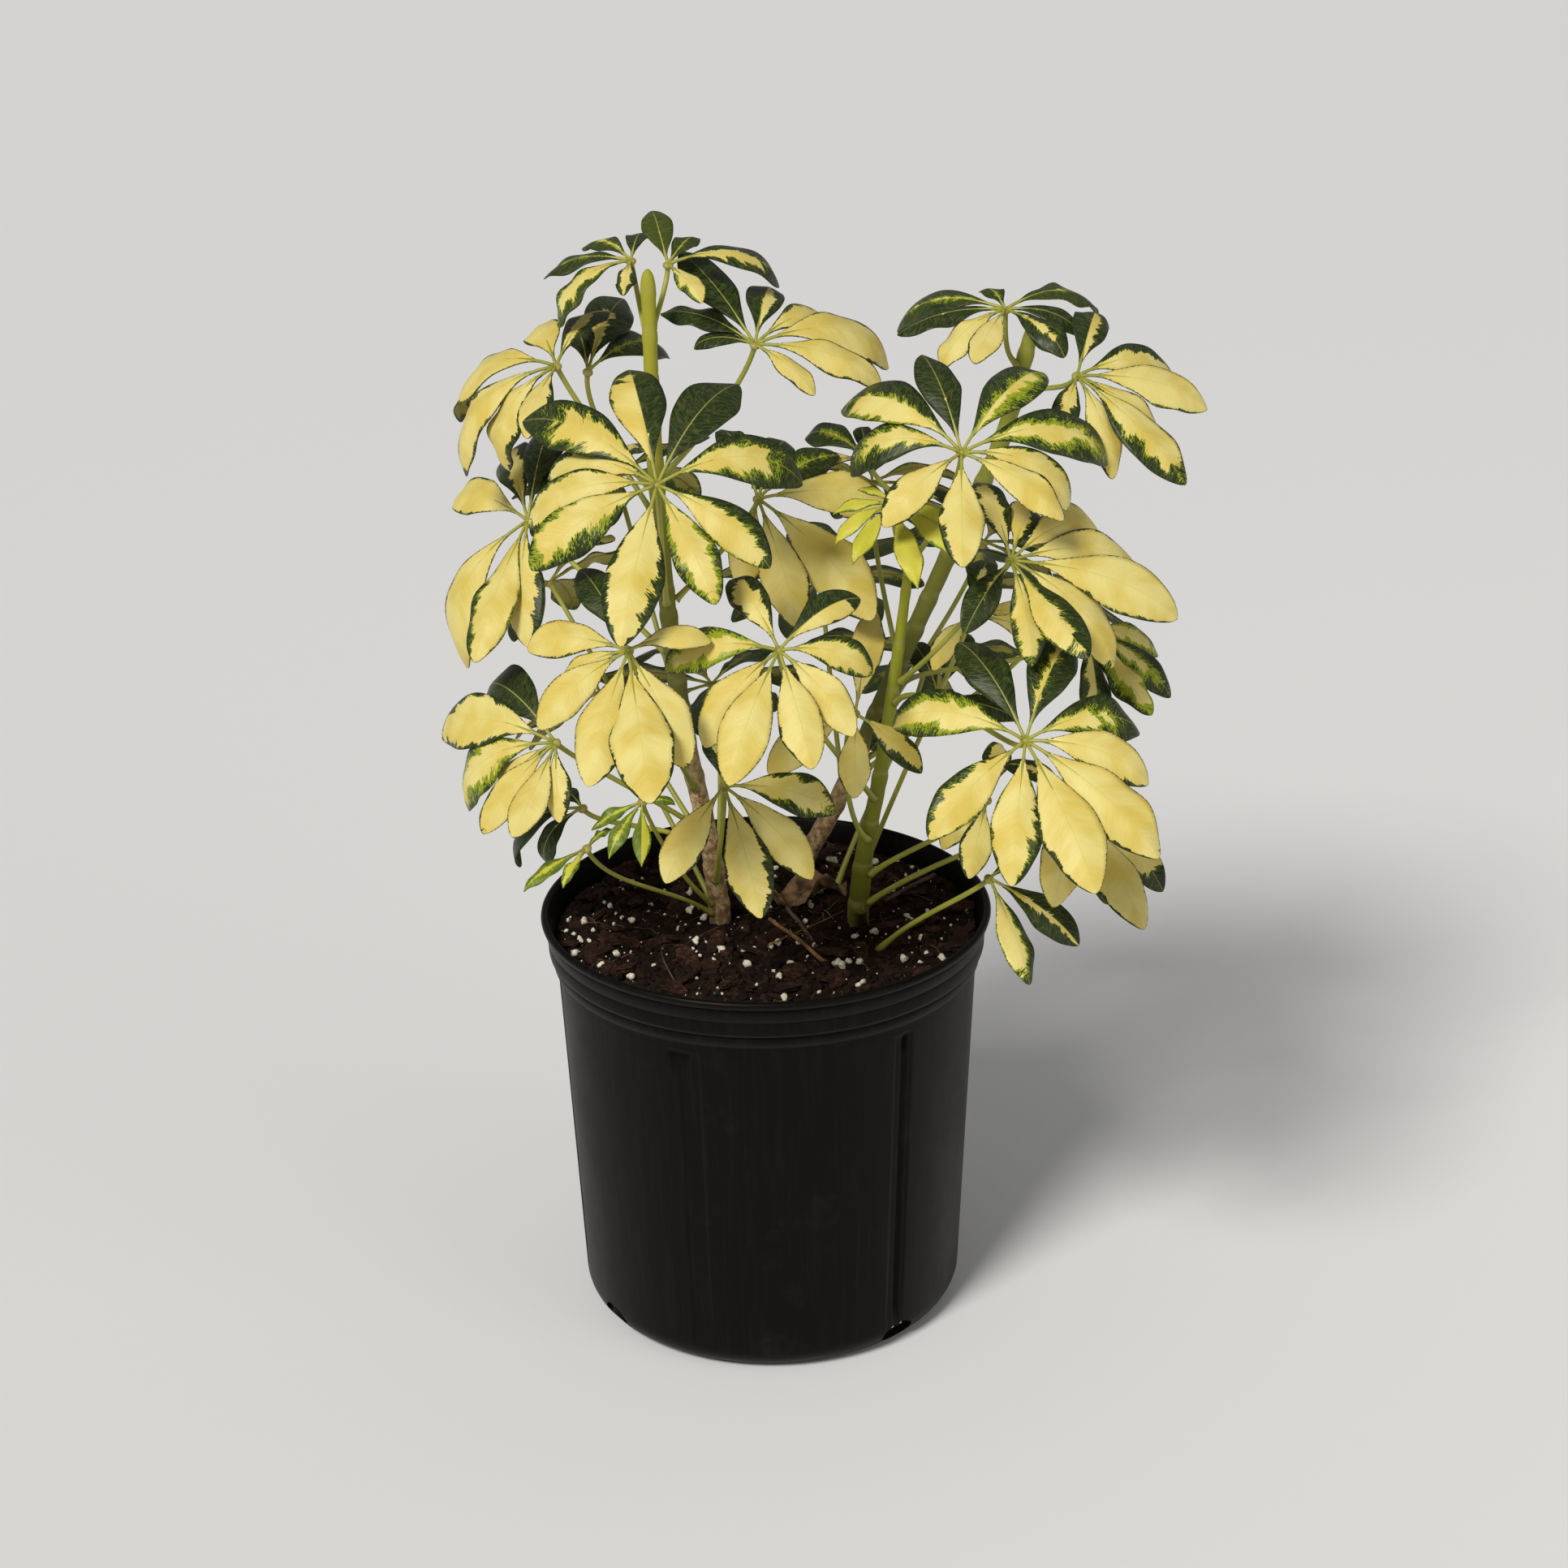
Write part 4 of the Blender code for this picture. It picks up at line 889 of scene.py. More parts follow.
# %% Blade helpers
BLADE_ACROSS = 12
BLADE_ALONG = 26
BLADE_WIDTH = 0.318
YOUNG_WIDTH = 0.23
BLADE_START = 0.13
BLADE_FOLD = 0.23
BLADE_THICKNESS = 0.0006
GROOVE_DEPTH = 0.0005
GROOVE_WIDTH = 0.0009
LEAST_WAVE = 0.0004
WAVE_RANGE = 0.0018
LARGEST_TWIST = 16
LARGEST_CURL = 0.0034
LARGEST_SWAY = 0.030
CURL_STARTS = 0.68
STALK_HALF_WIDTH = 0.0008


def leaf_bmesh():
    """An empty bmesh with the three attributes that the leaf materials read."""
    bm = bmesh.new()
    bm.verts.layers.float_vector.new("blade")
    bm.verts.layers.float_vector.new("grain")
    bm.verts.layers.float_color.new("marking")
    return bm


def blade_grid():
    """A flat grid, two units wide and long."""
    bm = leaf_bmesh()
    bmesh.ops.create_grid(bm, x_segments=BLADE_ACROSS, y_segments=BLADE_ALONG, size=1)
    return bm


def outline(v, pointed=False):
    """Half width of a leaflet along its length, as a share of its widest."""
    swell = max(math.sin(math.pi * min(v, 1) ** 1.3), 0)
    return swell ** (1.3 if pointed else 1.05 - 0.38 * v)


def row_places():
    """Where the grid's rows lie along the blade, closer together towards the tip."""
    return [1 - (1 - row / BLADE_ALONG) ** 1.3 for row in range(BLADE_ALONG + 1)]


class Habit:
    """What makes one leaflet differ from the next."""

    def __init__(self, draw):
        self.seed = draw.uniform(0, 500)
        self.waves = draw.uniform(1.3, 2.8)
        self.phase = draw.uniform(0, math.tau)
        self.height = LEAST_WAVE + WAVE_RANGE * draw.random() ** 1.6
        self.twist = math.radians(draw.uniform(-LARGEST_TWIST, LARGEST_TWIST))
        self.curl = draw.uniform(0.0, 1.0) * LARGEST_CURL
        self.sway = draw.uniform(-LARGEST_SWAY, LARGEST_SWAY)
        self.plump = draw.uniform(0.93, 1.08)

    def width(self, v, side):
        """A margin that is never quite even."""
        return self.plump * (1 + 0.09 * noise.noise(Vector((v * 5, side * 7, self.seed))))

    def wave(self, u, v):
        """Height of the waves of the edge."""
        wave = math.sin(math.tau * self.waves * v + self.phase + 1.7 * (u > 0))
        return self.height * wave * u * u * outline(v)

    def rib(self, stance, v, length):
        """A point of the midrib, which sways to one side and curls down at the tip."""
        place, _, upper, side = stance
        tip = max(v - CURL_STARTS, 0) / (1 - CURL_STARTS)
        return place + side * (self.sway * length * v * v) - upper * (self.curl * tip * tip)


def add_blade(bm, leaf, row, marking, habit):
    """One leaflet's sheet, bent onto its arch."""
    clock, length, sag = row[0], row[1] / 1000, row[2]
    places = row_places()
    shares = [BLADE_START + (1 - BLADE_START) * v for v in places]
    frames = leaflet_frames(metres(leaf["hub"]), leaf["faces"], clock, length, sag, shares)
    young = leaf.get("young", False)
    half = length * (YOUNG_WIDTH if young else BLADE_WIDTH) / 2
    points = paste(bm, kept_mesh(("blade",), blade_grid), 0)
    blade, grain = (bm.verts.layers.float_vector[name] for name in ("blade", "grain"))
    marks = bm.verts.layers.float_color["marking"]
    for vert in points:
        x, index = vert.co.x, round((vert.co.y + 1) / 2 * BLADE_ALONG)
        u, v = math.copysign(abs(x) ** 1.35, x), places[index]
        _, direction, upper, side = frames[index]
        turn = Quaternion(direction, habit.twist * v * v)
        upper, side = turn @ upper, turn @ side
        reach = half * outline(v, young) * habit.width(v, math.copysign(1, x))
        reach += STALK_HALF_WIDTH * (1 - 0.7 * v)
        droop = BLADE_FOLD * half * outline(v) * abs(u) ** 1.15
        groove = GROOVE_DEPTH * math.exp(-((u * reach / GROOVE_WIDTH) ** 2)) * (1 - v)
        rib = habit.rib(frames[index], v, length)
        vert.co = rib + side * (u * reach) + upper * (habit.wave(u, v) - droop - groove)
        vert[blade] = (u, v, reach * 1000)
        vert[grain] = (u * reach * 1000 + habit.seed, v * length * 1000 + habit.seed * 3, habit.seed * 0.37)
        vert[marks] = [tenths / 10 for tenths in marking]


def thicken(bm):
    """Gives the sheets their thickness, with the leaf's under side in the second material."""
    update_faces(bm)
    made = bmesh.ops.solidify(bm, geom=bm.faces[:], thickness=BLADE_THICKNESS)
    for face in made["geom"]:
        if isinstance(face, bmesh.types.BMFace):
            face.material_index = 1


# %% [markdown]
# ## Stalks of a leaf
#
# A leaflet's short stalk runs on as the midrib, which stands out under the blade and thins towards the
# tip, so one tapering rod makes both. The long leafstalk is a curve with four control points: it leaves
# the stem at a slant, with a swollen heel, and comes up behind the knob. Where it leaves the stem was
# found by the solids' own rule, and it is matched against them here in the same way as the leaflets.

# %% Stalk helpers
LEAFSTALK_RADIUS = 0.0018
PLAIN_STALK_RADII = (0.0018, 0.00171, 0.00162)
STALK_NUDGES = (0.008, 0.016, 0.026, 0.036)
STALK_DROP = 0.02
STALK_SLOPE = 0.8
STALK_LEAVES = 0.35
STALK_ARRIVES = 0.30
ROOT_STALK_ARRIVES = 0.25
HEEL_SHARE = 1.25
HEEL_SWELLING = 0.75
TOP_SWELLING = 0.45
KNOB_RADIUS = 0.0029
KNOB_FLATNESS = 0.62
KNOB_SUNK = 0.0006
SOIL_TOP = 0.227
ROOT_DEPTH = 0.007
ROOT_STALK_FOOT = 0.010
ROOT_STALK_RISE = 0.006
GAP = 0.0004
STALK_RINGS = 22
MIDRIB_SHARES = (0.02, 0.06, 0.11, 0.17, 0.24, 0.34, 0.46, 0.60, 0.76, 0.90)
MIDRIB_RADII = (0.0011, 0.0009, 0.0009, 0.00095, 0.0008, 0.00065, 0.0005, 0.0004, 0.0003, 0.0002)


def add_midrib(bm, leaf, row, habit):
    """A leaflet's stalk and the rib under its blade."""
    clock, length, sag = row[0], row[1] / 1000, row[2]
    frames = leaflet_frames(metres(leaf["hub"]), leaf["faces"], clock, length, sag, MIDRIB_SHARES)
    size = 0.8 if leaf.get("young") else 1.0
    line, radii = [], []
    for stance, share, radius in zip(frames, MIDRIB_SHARES, MIDRIB_RADII):
        sunk = kept_within_one((share - 0.08) / 0.12) * (BLADE_THICKNESS + radius * 0.45)
        v = max(share - BLADE_START, 0) / (1 - BLADE_START)
        line.append(habit.rib(stance, v, length) - stance[2] * sunk)
        radii.append(radius * size)
    add_rod(bm, line, radii, sides=6, slot=2)


def stem_points(stem, count=11):
    """Centre line of a stem above the soil, as its solid has it."""
    return smooth_line([metres(point) for point in STEMS[stem]["line"]], count)


def stem_at(stem, height):
    """Centre of a stem at a height."""
    line = stem_points(stem)
    for low, high in zip(line, line[1:]):
        if low.z <= height <= high.z:
            return low.lerp(high, (height - low.z) / (high.z - low.z))
    return line[-1]


def root_point(leaf):
    """Where a leafstalk that grows from below the soil begins."""
    return metres((*leaf["root"], 0)) + Vector((0, 0, SOIL_TOP + 0.003 - ROOT_DEPTH))


def stalk_controls(leaf, bark, shift, bow):
    """The four control points of a leafstalk for one try of its shift and bow."""
    hub, outward = metres(leaf["hub"]), leaf_axes(leaf["faces"])[0]
    if "root" in leaf:
        start = root_point(leaf) + Vector((0, 0, ROOT_STALK_FOOT))
        first = start.lerp(hub, 1 / 3) + Vector((bow, bow + shift, ROOT_STALK_RISE))
        return start, first, hub - outward * (hub - start).length * ROOT_STALK_ARRIVES, hub
    line = stem_points(leaf["stem"])
    near = min(line[1:], key=lambda point: (point - hub).length)
    run = (Vector((hub.x, hub.y, 0)) - Vector((near.x, near.y, 0))).length
    height = leaf.get("node", (hub.z - STALK_DROP - STALK_SLOPE * run) * 1000) / 1000 + shift
    root = stem_at(leaf["stem"], min(max(height, SOIL_TOP + 0.012), line[-1].z - 0.002))
    away = Vector((hub.x - root.x, hub.y - root.y, 0)).normalized()
    rising = (away * 0.75 + Vector((0, 0, 0.66))).normalized()
    sideways = away.cross(Vector((0, 0, 1))) * bow
    seat, heel = bark.ray_cast(root, away)[3] + GAP, 0.0
    for _ in range(3):
        start = root + away * (seat + heel)
        span = (hub - start).length
        first = start + rising * span * STALK_LEAVES + sideways
        controls = start, first, hub - outward * span * STALK_ARRIVES + sideways, hub
        slant = (bezier(controls, 0.25) - start).normalized().dot(away)
        heel = LEAFSTALK_RADIUS * HEEL_SHARE * math.sqrt(1 - slant * slant)
    return controls


def fitted_stalk(leaf, corners, bark):
    """The leafstalk's control points that its solid was made with."""
    tries = [(0.0, 0.0)]
    for size in STALK_NUDGES:
        tries += [(size, 0), (-size, 0), (0, size), (0, -size), (size, size), (-size, size), (-size, -size)]
    marks = list(zip((0.25, 0.5, 0.75), PLAIN_STALK_RADII))

    def misfit(controls):
        return sum(abs(corners.find(bezier(controls, t))[2] - radius) for t, radius in marks)

    return min((stalk_controls(leaf, bark, *tried) for tried in tries), key=misfit)


def add_leafstalk(bm, leaf, controls):
    """The long stalk, with its swollen heel pressed onto the bark."""
    line = [bezier(controls, step / STALK_RINGS) for step in range(STALK_RINGS + 1)]
    heel = (line[1] - line[0]).normalized()
    line.insert(0, line[0] - heel * (0.012 if "root" in leaf else 0.0022))
    size = 0.72 if leaf.get("young") else 0.84
    radii = []
    for index in range(len(line)):
        t = index / (len(line) - 1)
        swelling = HEEL_SWELLING * math.exp(-t / 0.05) + TOP_SWELLING * math.exp(-(1 - t) / 0.03)
        radii.append(LEAFSTALK_RADIUS * size * (1.0 - 0.12 * t + swelling))
    add_rod(bm, line, radii, sides=10, slot=2)


def add_knob(bm, leaf):
    """The small knob that the leaflets spread from."""
    outward = leaf_axes(leaf["faces"])[0]
    turn = outward.to_track_quat("Z", "Y").to_matrix().to_4x4()
    middle = metres(leaf["hub"]) - outward * KNOB_SUNK
    place = Matrix.Translation(middle) @ turn @ Matrix.Diagonal((1, 1, KNOB_FLATNESS, 1))
    made = bmesh.ops.create_uvsphere(bm, u_segments=14, v_segments=8, radius=KNOB_RADIUS, matrix=place)
    for face in {face for vert in made["verts"] for face in vert.link_faces}:
        face.material_index = 3
        face.smooth = True


# %% [markdown]
# ## Growing the leaves
#
# Everything above comes together here: for each plain leaf, its leaflets are looked up, bent,
# thickened and joined with their midribs, the knob and the leafstalk into one piece, which then stands
# for the plain one.

# %% Make every leaf
def grow_leaf(name, leaf, bark):
    """A whole compound leaf in place of its solid."""
    corners = corner_tree(name)
    draw = random.Random(name)
    rows = [(fitted_row(leaf, with_sag(*row[:-4]), corners), row[-4:]) for row in leaf["fan"]]
    rows = [(row, marking, Habit(draw)) for row, marking in rows if row]
    bm = leaf_bmesh()
    for row, marking, habit in rows:
        add_blade(bm, leaf, row, marking, habit)
    thicken(bm)
    for row, _, habit in rows:
        add_midrib(bm, leaf, row, habit)
    add_knob(bm, leaf)
    add_leafstalk(bm, leaf, fitted_stalk(leaf, corners, bark))
    sides = ("young_upper", "young_under") if leaf.get("young") else ("leaf_upper", "leaf_under")
    materials = [*(leaf_materials[side] for side in sides), leafstalk, knob]
    add_piece(name.replace("leaf", "foliage"), bm, materials, [name])
    return len(rows)


def bark_of(node):
    """A stem's plain surface, for finding where a leafstalk meets it."""
    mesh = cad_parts[node].data
    corners = [vert.co for vert in mesh.vertices]
    return BVHTree.FromPolygons(corners, [tuple(face.vertices) for face in mesh.polygons])


plain_barks = {stem: bark_of(f"{stem}_stem") for stem in STEMS}
grown = {name: grow_leaf(name, leaf, plain_barks[leaf["stem"]]) for name, leaf in LEAVES.items()}
wanted = {name: len(leaf["fan"]) for name, leaf in LEAVES.items()}
missing = {name: wanted[name] - count for name, count in grown.items() if count < wanted[name]}
print(f"{sum(grown.values())} leaflets grown, left out: {missing}")

# %% [markdown]
# ## Stems
#
# A stem is a rod whose radius swells at each joint where a leaf grew, with a thin scar ring just above.
# The joints stand about two centimetres apart on the left stem and wider on the other two.

# %% Make the stems
STEM_RINGS = 150
STEM_SIDES = 24
STEM_ROOT_DEPTH = 0.030
JOINT_SPACING = {"left": 0.019, "right": 0.026, "rear": 0.026}
SWELLING = 0.11
DENT = 0.05
SCAR_RISE = 0.0036
TIP_RINGS = ((0.003, 0.93), (0.006, 0.80), (0.0085, 0.56), (0.0100, 0.24))


def joint_heights(stem, line):
    """Heights of the joints, a little uneven."""
    draw = random.Random(stem)
    heights, height = [], line[0].z + 0.004
    while height < line[-1].z:
        heights.append(height)
        height += JOINT_SPACING[stem] * draw.uniform(0.7, 1.3)
    return heights


def ring_radius(radius, height, joints, seed):
    """A stem's radius with the swelling and the scar of each joint."""
    swollen = 1.0
    for joint in joints:
        away = height - joint
        swollen += SWELLING * math.exp(-((away / SCAR_RISE) ** 2))
        swollen -= DENT * math.exp(-(((away - 0.0046) / 0.0010) ** 2))
    return 0.92 * radius * swollen * (1 + 0.05 * noise.noise(Vector((height * 90, seed, 0))))


def scar_share(place, joints):
    """How much of a leaf scar's pale ring a point has; each ring runs round at a slant."""
    slant = 0.0016 * noise.noise(Vector((place.x * 160, place.y * 160, 0)))
    return sum(math.exp(-(((place.z + slant - joint - SCAR_RISE) / 0.0011) ** 2)) for joint in joints)


def make_stem(stem):
    """One stem, rooted in the soil, with its rounded growing tip."""
    foot, tip = STEMS[stem]["foot_radius"] / 1000, STEMS[stem]["tip_radius"] / 1000
    line = stem_points(stem, STEM_RINGS)
    joints = joint_heights(stem, line)
    radii = [
        ring_radius(foot + (tip - foot) * index / STEM_RINGS, point.z, joints, foot * 1000)
        for index, point in enumerate(line)
    ]
    line.insert(0, line[0] - Vector((0, 0, STEM_ROOT_DEPTH)))
    radii.insert(0, foot)
    top, narrow, onward = line[-1], radii[-1], (line[-1] - line[-2]).normalized()
    for step, share in TIP_RINGS:
        line.append(top + onward * step)
        radii.append(narrow * share)
    bm = bmesh.new()
    scar = bm.verts.layers.float.new("scar")
    add_rod(bm, line, radii, sides=STEM_SIDES)
    for vert in bm.verts:
        vert[scar] = scar_share(vert.co, joints)
        vert.co += vert.co.normalized() * 0.0003 * noise.noise(vert.co * 260)
    return add_piece(f"{stem}_bark", bm, [barks[stem]], [f"{stem}_stem"])


for stem in STEMS:
    made = make_stem(stem)
    print(f"{made.name}: {len(made.data.polygons)} faces")

# %% [markdown]
# ## The nursery pot
#
# The pot is blow-moulded: a soft tube of black plastic is blown out against a mould, so all its edges
# are soft, and a thin parting line runs up each side where the mould's halves met. Its half section is
# drawn as a short list of points and turned about the middle. The upright channels are then pressed
# into the turned wall, point by point, as the mould presses them.

# %% Pot measures and section
POT_HEIGHT = 0.241
RIM_RADIUS = 0.127
BAND_FOOT = 0.207
BODY_TOP_RADIUS = 0.1185
BODY_FOOT_RADIUS = 0.1085
FOOT_ROUNDING = 0.016
WALL = 0.0026
FLOOR = 0.004
PARTING_LINE = -8
HOLES_FROM_PARTING = 49
CHANNEL_COUNT = 6
FIRST_CHANNEL = -21
CHANNEL_TOP = 0.2040
NOTCH_HEIGHT = 0.012
LIP_RADIUS = 0.0022
POT_STEPS = 880
BODY_RINGS = 26
BASE_SECTION = ((0, 0), (0.058, 0), (0.061, 0.0018), (0.080, 0.0018), (0.083, 0))
BAND_SECTION = (
    (0.1184, 0.2070), (0.1186, 0.2092), (0.1190, 0.2102), (0.1202, 0.2109), (0.1208, 0.2120),
    (0.1210, 0.2150), (0.1209, 0.2166), (0.1205, 0.2175), (0.1222, 0.2183), (0.1230, 0.2192),
    (0.1233, 0.2206), (0.1235, 0.2262), (0.1232, 0.2273), (0.1239, 0.2281), (0.1241, 0.2330),
    (0.1240, 0.2344), (0.1236, 0.2353), (0.1253, 0.2359), (0.1264, 0.2368), (0.1266, 0.2376),
)


def body_radius(height):
    """Outer radius of the tapered wall at a height above the base."""
    return BODY_FOOT_RADIUS + (BODY_TOP_RADIUS - BODY_FOOT_RADIUS) * height / BAND_FOOT


def arc(centre, radius, first, last, count):
    """Points of an arc in the half section, in degrees from +X."""
    turns = [math.radians(first + (last - first) * step / count) for step in range(count + 1)]
    return [(centre[0] + radius * math.cos(turn), centre[1] + radius * math.sin(turn)) for turn in turns]


def turned_body(section, steps):
    """A closed body, made by turning a half section of radii and heights about the middle."""
    bm = bmesh.new()
    verts = [bm.verts.new((radius, 0, height)) for radius, height in section]
    drawn = verts + [bm.edges.new(pair) for pair in zip(verts, verts[1:])]
    full_turn = dict(cent=(0, 0, 0), axis=(0, 0, 1), angle=math.tau)
    bmesh.ops.spin(bm, geom=drawn, steps=steps, use_merge=True, **full_turn)
    bmesh.ops.remove_doubles(bm, verts=bm.verts, dist=0.00001)
    return bm


def pot_section():
    """Half section: under the base, up the outside, over the rolled lip and down the inside."""
    foot = body_radius(FOOT_ROUNDING)
    section = [*BASE_SECTION, *arc((foot - FOOT_ROUNDING, FOOT_ROUNDING), FOOT_ROUNDING, -90, 0, 9)]
    top = CHANNEL_TOP + 0.002
    for ring in range(1, BODY_RINGS + 1):
        height = top - (top - FOOT_ROUNDING) * (1 - ring / BODY_RINGS) ** 1.7
        section.append((body_radius(height), height))
    section += BAND_SECTION
    section += arc((RIM_RADIUS - LIP_RADIUS, POT_HEIGHT - LIP_RADIUS), LIP_RADIUS, 0, 150, 8)
    section += [
        (RIM_RADIUS - 0.0048, POT_HEIGHT - 0.0040),
        (RIM_RADIUS - 0.0056, POT_HEIGHT - 0.0080),
        (BODY_TOP_RADIUS - WALL + 0.0012, BAND_FOOT + 0.016),
        (BODY_TOP_RADIUS - WALL, BAND_FOOT),
        (foot - WALL, FOOT_ROUNDING),
        (foot - FOOT_ROUNDING, FLOOR),
        (0, FLOOR),
    ]
    return section


# %% [markdown]
# Six shallow upright channels are pressed into the wall. In every second one a narrow slot runs deeper,
# and in the others a notch at one side grows wider and deeper towards the band. The drain openings are
# cut through the foot's edge with rounded plugs, two towards the front and two towards the back.

# %% Press the channels and cut the drain openings
DRAIN_SIZE = (0.022, 0.013)
NEAR_DRAINS = (PARTING_LINE - HOLES_FROM_PARTING, PARTING_LINE + HOLES_FROM_PARTING)
DRAIN_ANGLES = NEAR_DRAINS + tuple(angle + 180 for angle in NEAR_DRAINS)
DEEPEST = 0.0024
CHANNEL_DEPTH = 0.0008
CHANNEL_HALF_WIDTH = 0.0058
SLOT_ASIDE = 0.0012
SLOT_HALF_WIDTH = 0.0020
NOTCH_ASIDE = 0.0074
NOTCH_HALF_WIDTH = 0.0016
NOTCH_DRIFT = 0.0016
NOTCH_WIDENING = 0.0062
LOWER_FADE = 0.006
UPPER_FADE = 0.0015
PARTING_RIDGE = 0.00045
# How strong the painted shade in the band's grooves and the painted highlight on its edges are.
GROOVE_SHADE = 0.45
EDGE_SHINE = 0.55
BELOW_NOTCH_SHADE = 0.45
BAND_GROOVES = (0.2086, 0.2172, 0.2273, 0.2352)
BAND_EDGES = (0.2120, 0.2192, 0.2281, 0.2372)


def turn_from_front(degrees):
    """An angle measured to the right of the front, as one about +Z."""
    return math.radians(degrees - 90)


def edge_step(distance, half_width, softness=0.0006):
    """One inside a strip, nothing outside it, with soft edges."""
    return 1 / (1 + math.exp(min((abs(distance) - half_width) / softness * 4, 60)))


def pressed_depth(turn, radius, height):
    """How far the mould presses the wall in at a place."""
    depth = 0.0
    ends = kept_within_one((height - FOOT_ROUNDING) / LOWER_FADE)
    ends *= kept_within_one((CHANNEL_TOP - height) / UPPER_FADE)
    notch = kept_within_one((height - CHANNEL_TOP + NOTCH_HEIGHT) / NOTCH_HEIGHT)
    for index in range(CHANNEL_COUNT):
        centre = turn_from_front(FIRST_CHANNEL + index * 360 / CHANNEL_COUNT)
        aside = math.remainder(turn - centre, math.tau) * radius
        if abs(aside) < 0.02:
            depth += ends * CHANNEL_DEPTH * edge_step(aside, CHANNEL_HALF_WIDTH)
            if index % 2:
                depth += ends * (DEEPEST - CHANNEL_DEPTH) * edge_step(aside - SLOT_ASIDE, SLOT_HALF_WIDTH)
            else:
                middle = NOTCH_DRIFT * notch - NOTCH_ASIDE
                half_width = NOTCH_HALF_WIDTH + NOTCH_WIDENING * notch
                depth = max(depth, ends * DEEPEST * notch**0.5 * edge_step(aside - middle, half_width))
    for index in range(2):
        aside = math.remainder(turn - turn_from_front(PARTING_LINE + 180 * index), math.tau) * radius
        depth -= PARTING_RIDGE * math.exp(-((aside / 0.0009) ** 2))
    return depth


def edge_share(height):
    """Painted shade above zero in the band's grooves, a painted highlight below zero on its edges."""
    sunk = sum(math.exp(-(((height - groove) / 0.0009) ** 2)) for groove in BAND_GROOVES)
    # A painted highlight on each of the band's edges.
    edge_highlight = sum(math.exp(-(((height - edge) / 0.0005) ** 2)) for edge in BAND_EDGES)
    return GROOVE_SHADE * sunk - EDGE_SHINE * edge_highlight


def press_wall(bm):
    """Moves the points of the outer wall as the mould does, and notes painted shade where they lie deep and a
    painted highlight on the band's edges.
    """
    painted_shade_and_highlight = bm.verts.layers.float.new("painted_shade_and_highlight")
    for vert in bm.verts:
        radius, height = vert.co.xy.length, vert.co.z
        if radius > BODY_TOP_RADIUS - WALL / 2 and height > CHANNEL_TOP:
            # In the band: painted shade in its grooves, a painted highlight on its edges.
            vert[painted_shade_and_highlight] = edge_share(height)
        if FOOT_ROUNDING * 0.5 < height < CHANNEL_TOP + 0.001 and radius > body_radius(height) - 0.0012:
            turn = math.atan2(vert.co.y, vert.co.x)
            waver = 0.00022 * noise.noise(Vector((math.cos(turn) * 3, math.sin(turn) * 3, height * 9)))
            depth = pressed_depth(turn, radius, height)
            vert.co.xy *= 1 + (waver - depth) / radius
            shaded = BELOW_NOTCH_SHADE if height < CHANNEL_TOP - NOTCH_HEIGHT else 1
            # Painted shade in the channels and notches, weaker below the notches.
            vert[painted_shade_and_highlight] = max(depth / DEEPEST, 0) ** 1.6 * shaded


def drain_cutter(angle):
    """A rounded plug that cuts one opening in the foot's edge."""
    bm = bmesh.new()
    bmesh.ops.create_cone(bm, cap_ends=True, segments=28, radius1=0.5, radius2=0.5, depth=1)
    for vert in bm.verts:
        turn = math.atan2(vert.co.y, vert.co.x)
        vert.co.xy *= 1 + 0.10 * noise.noise(Vector((math.cos(turn) * 1.6, math.sin(turn) * 1.6, angle)))
    foot = body_radius(FOOT_ROUNDING)
    place = (
        Matrix.Rotation(turn_from_front(angle), 4, "Z")
        @ Matrix.Translation((foot - 0.004, 0, 0.0105))
        @ Matrix.Rotation(math.radians(35), 4, "Y")
        @ Matrix.Rotation(math.radians(90), 4, "Y")
        @ Matrix.Diagonal((DRAIN_SIZE[1], DRAIN_SIZE[0], 0.022, 1))
    )
    bmesh.ops.transform(bm, matrix=place, verts=bm.verts)
    return add_object("drain_cutter", mesh_from("drain_cutter", bm))


def cut(obj, cutters):
    """Takes the cutters away from a piece and removes them."""
    for cutter in cutters:
        boolean = obj.modifiers.new("cut", "BOOLEAN")
        boolean.operation = "DIFFERENCE"
        boolean.object = cutter
        boolean.solver = "EXACT"
    bpy.context.view_layer.update()
    graph = bpy.context.evaluated_depsgraph_get()
    baked = bpy.data.meshes.new_from_object(obj.evaluated_get(graph))
    obj.modifiers.clear()
    obj.data = baked
    for cutter in cutters:
        bpy.data.objects.remove(cutter)


# %% [markdown]
# Black plastic is hardly ever black in a picture. It is a very dark warm grey with a satin sheen, a
# little dust, and faint rubbed streaks that run up and down from the mould and from stacking. Where the
# wall is pressed in, and in the band's grooves, painted shade makes it darker, and it is duller there;
# a painted highlight makes the band's edges a little paler.

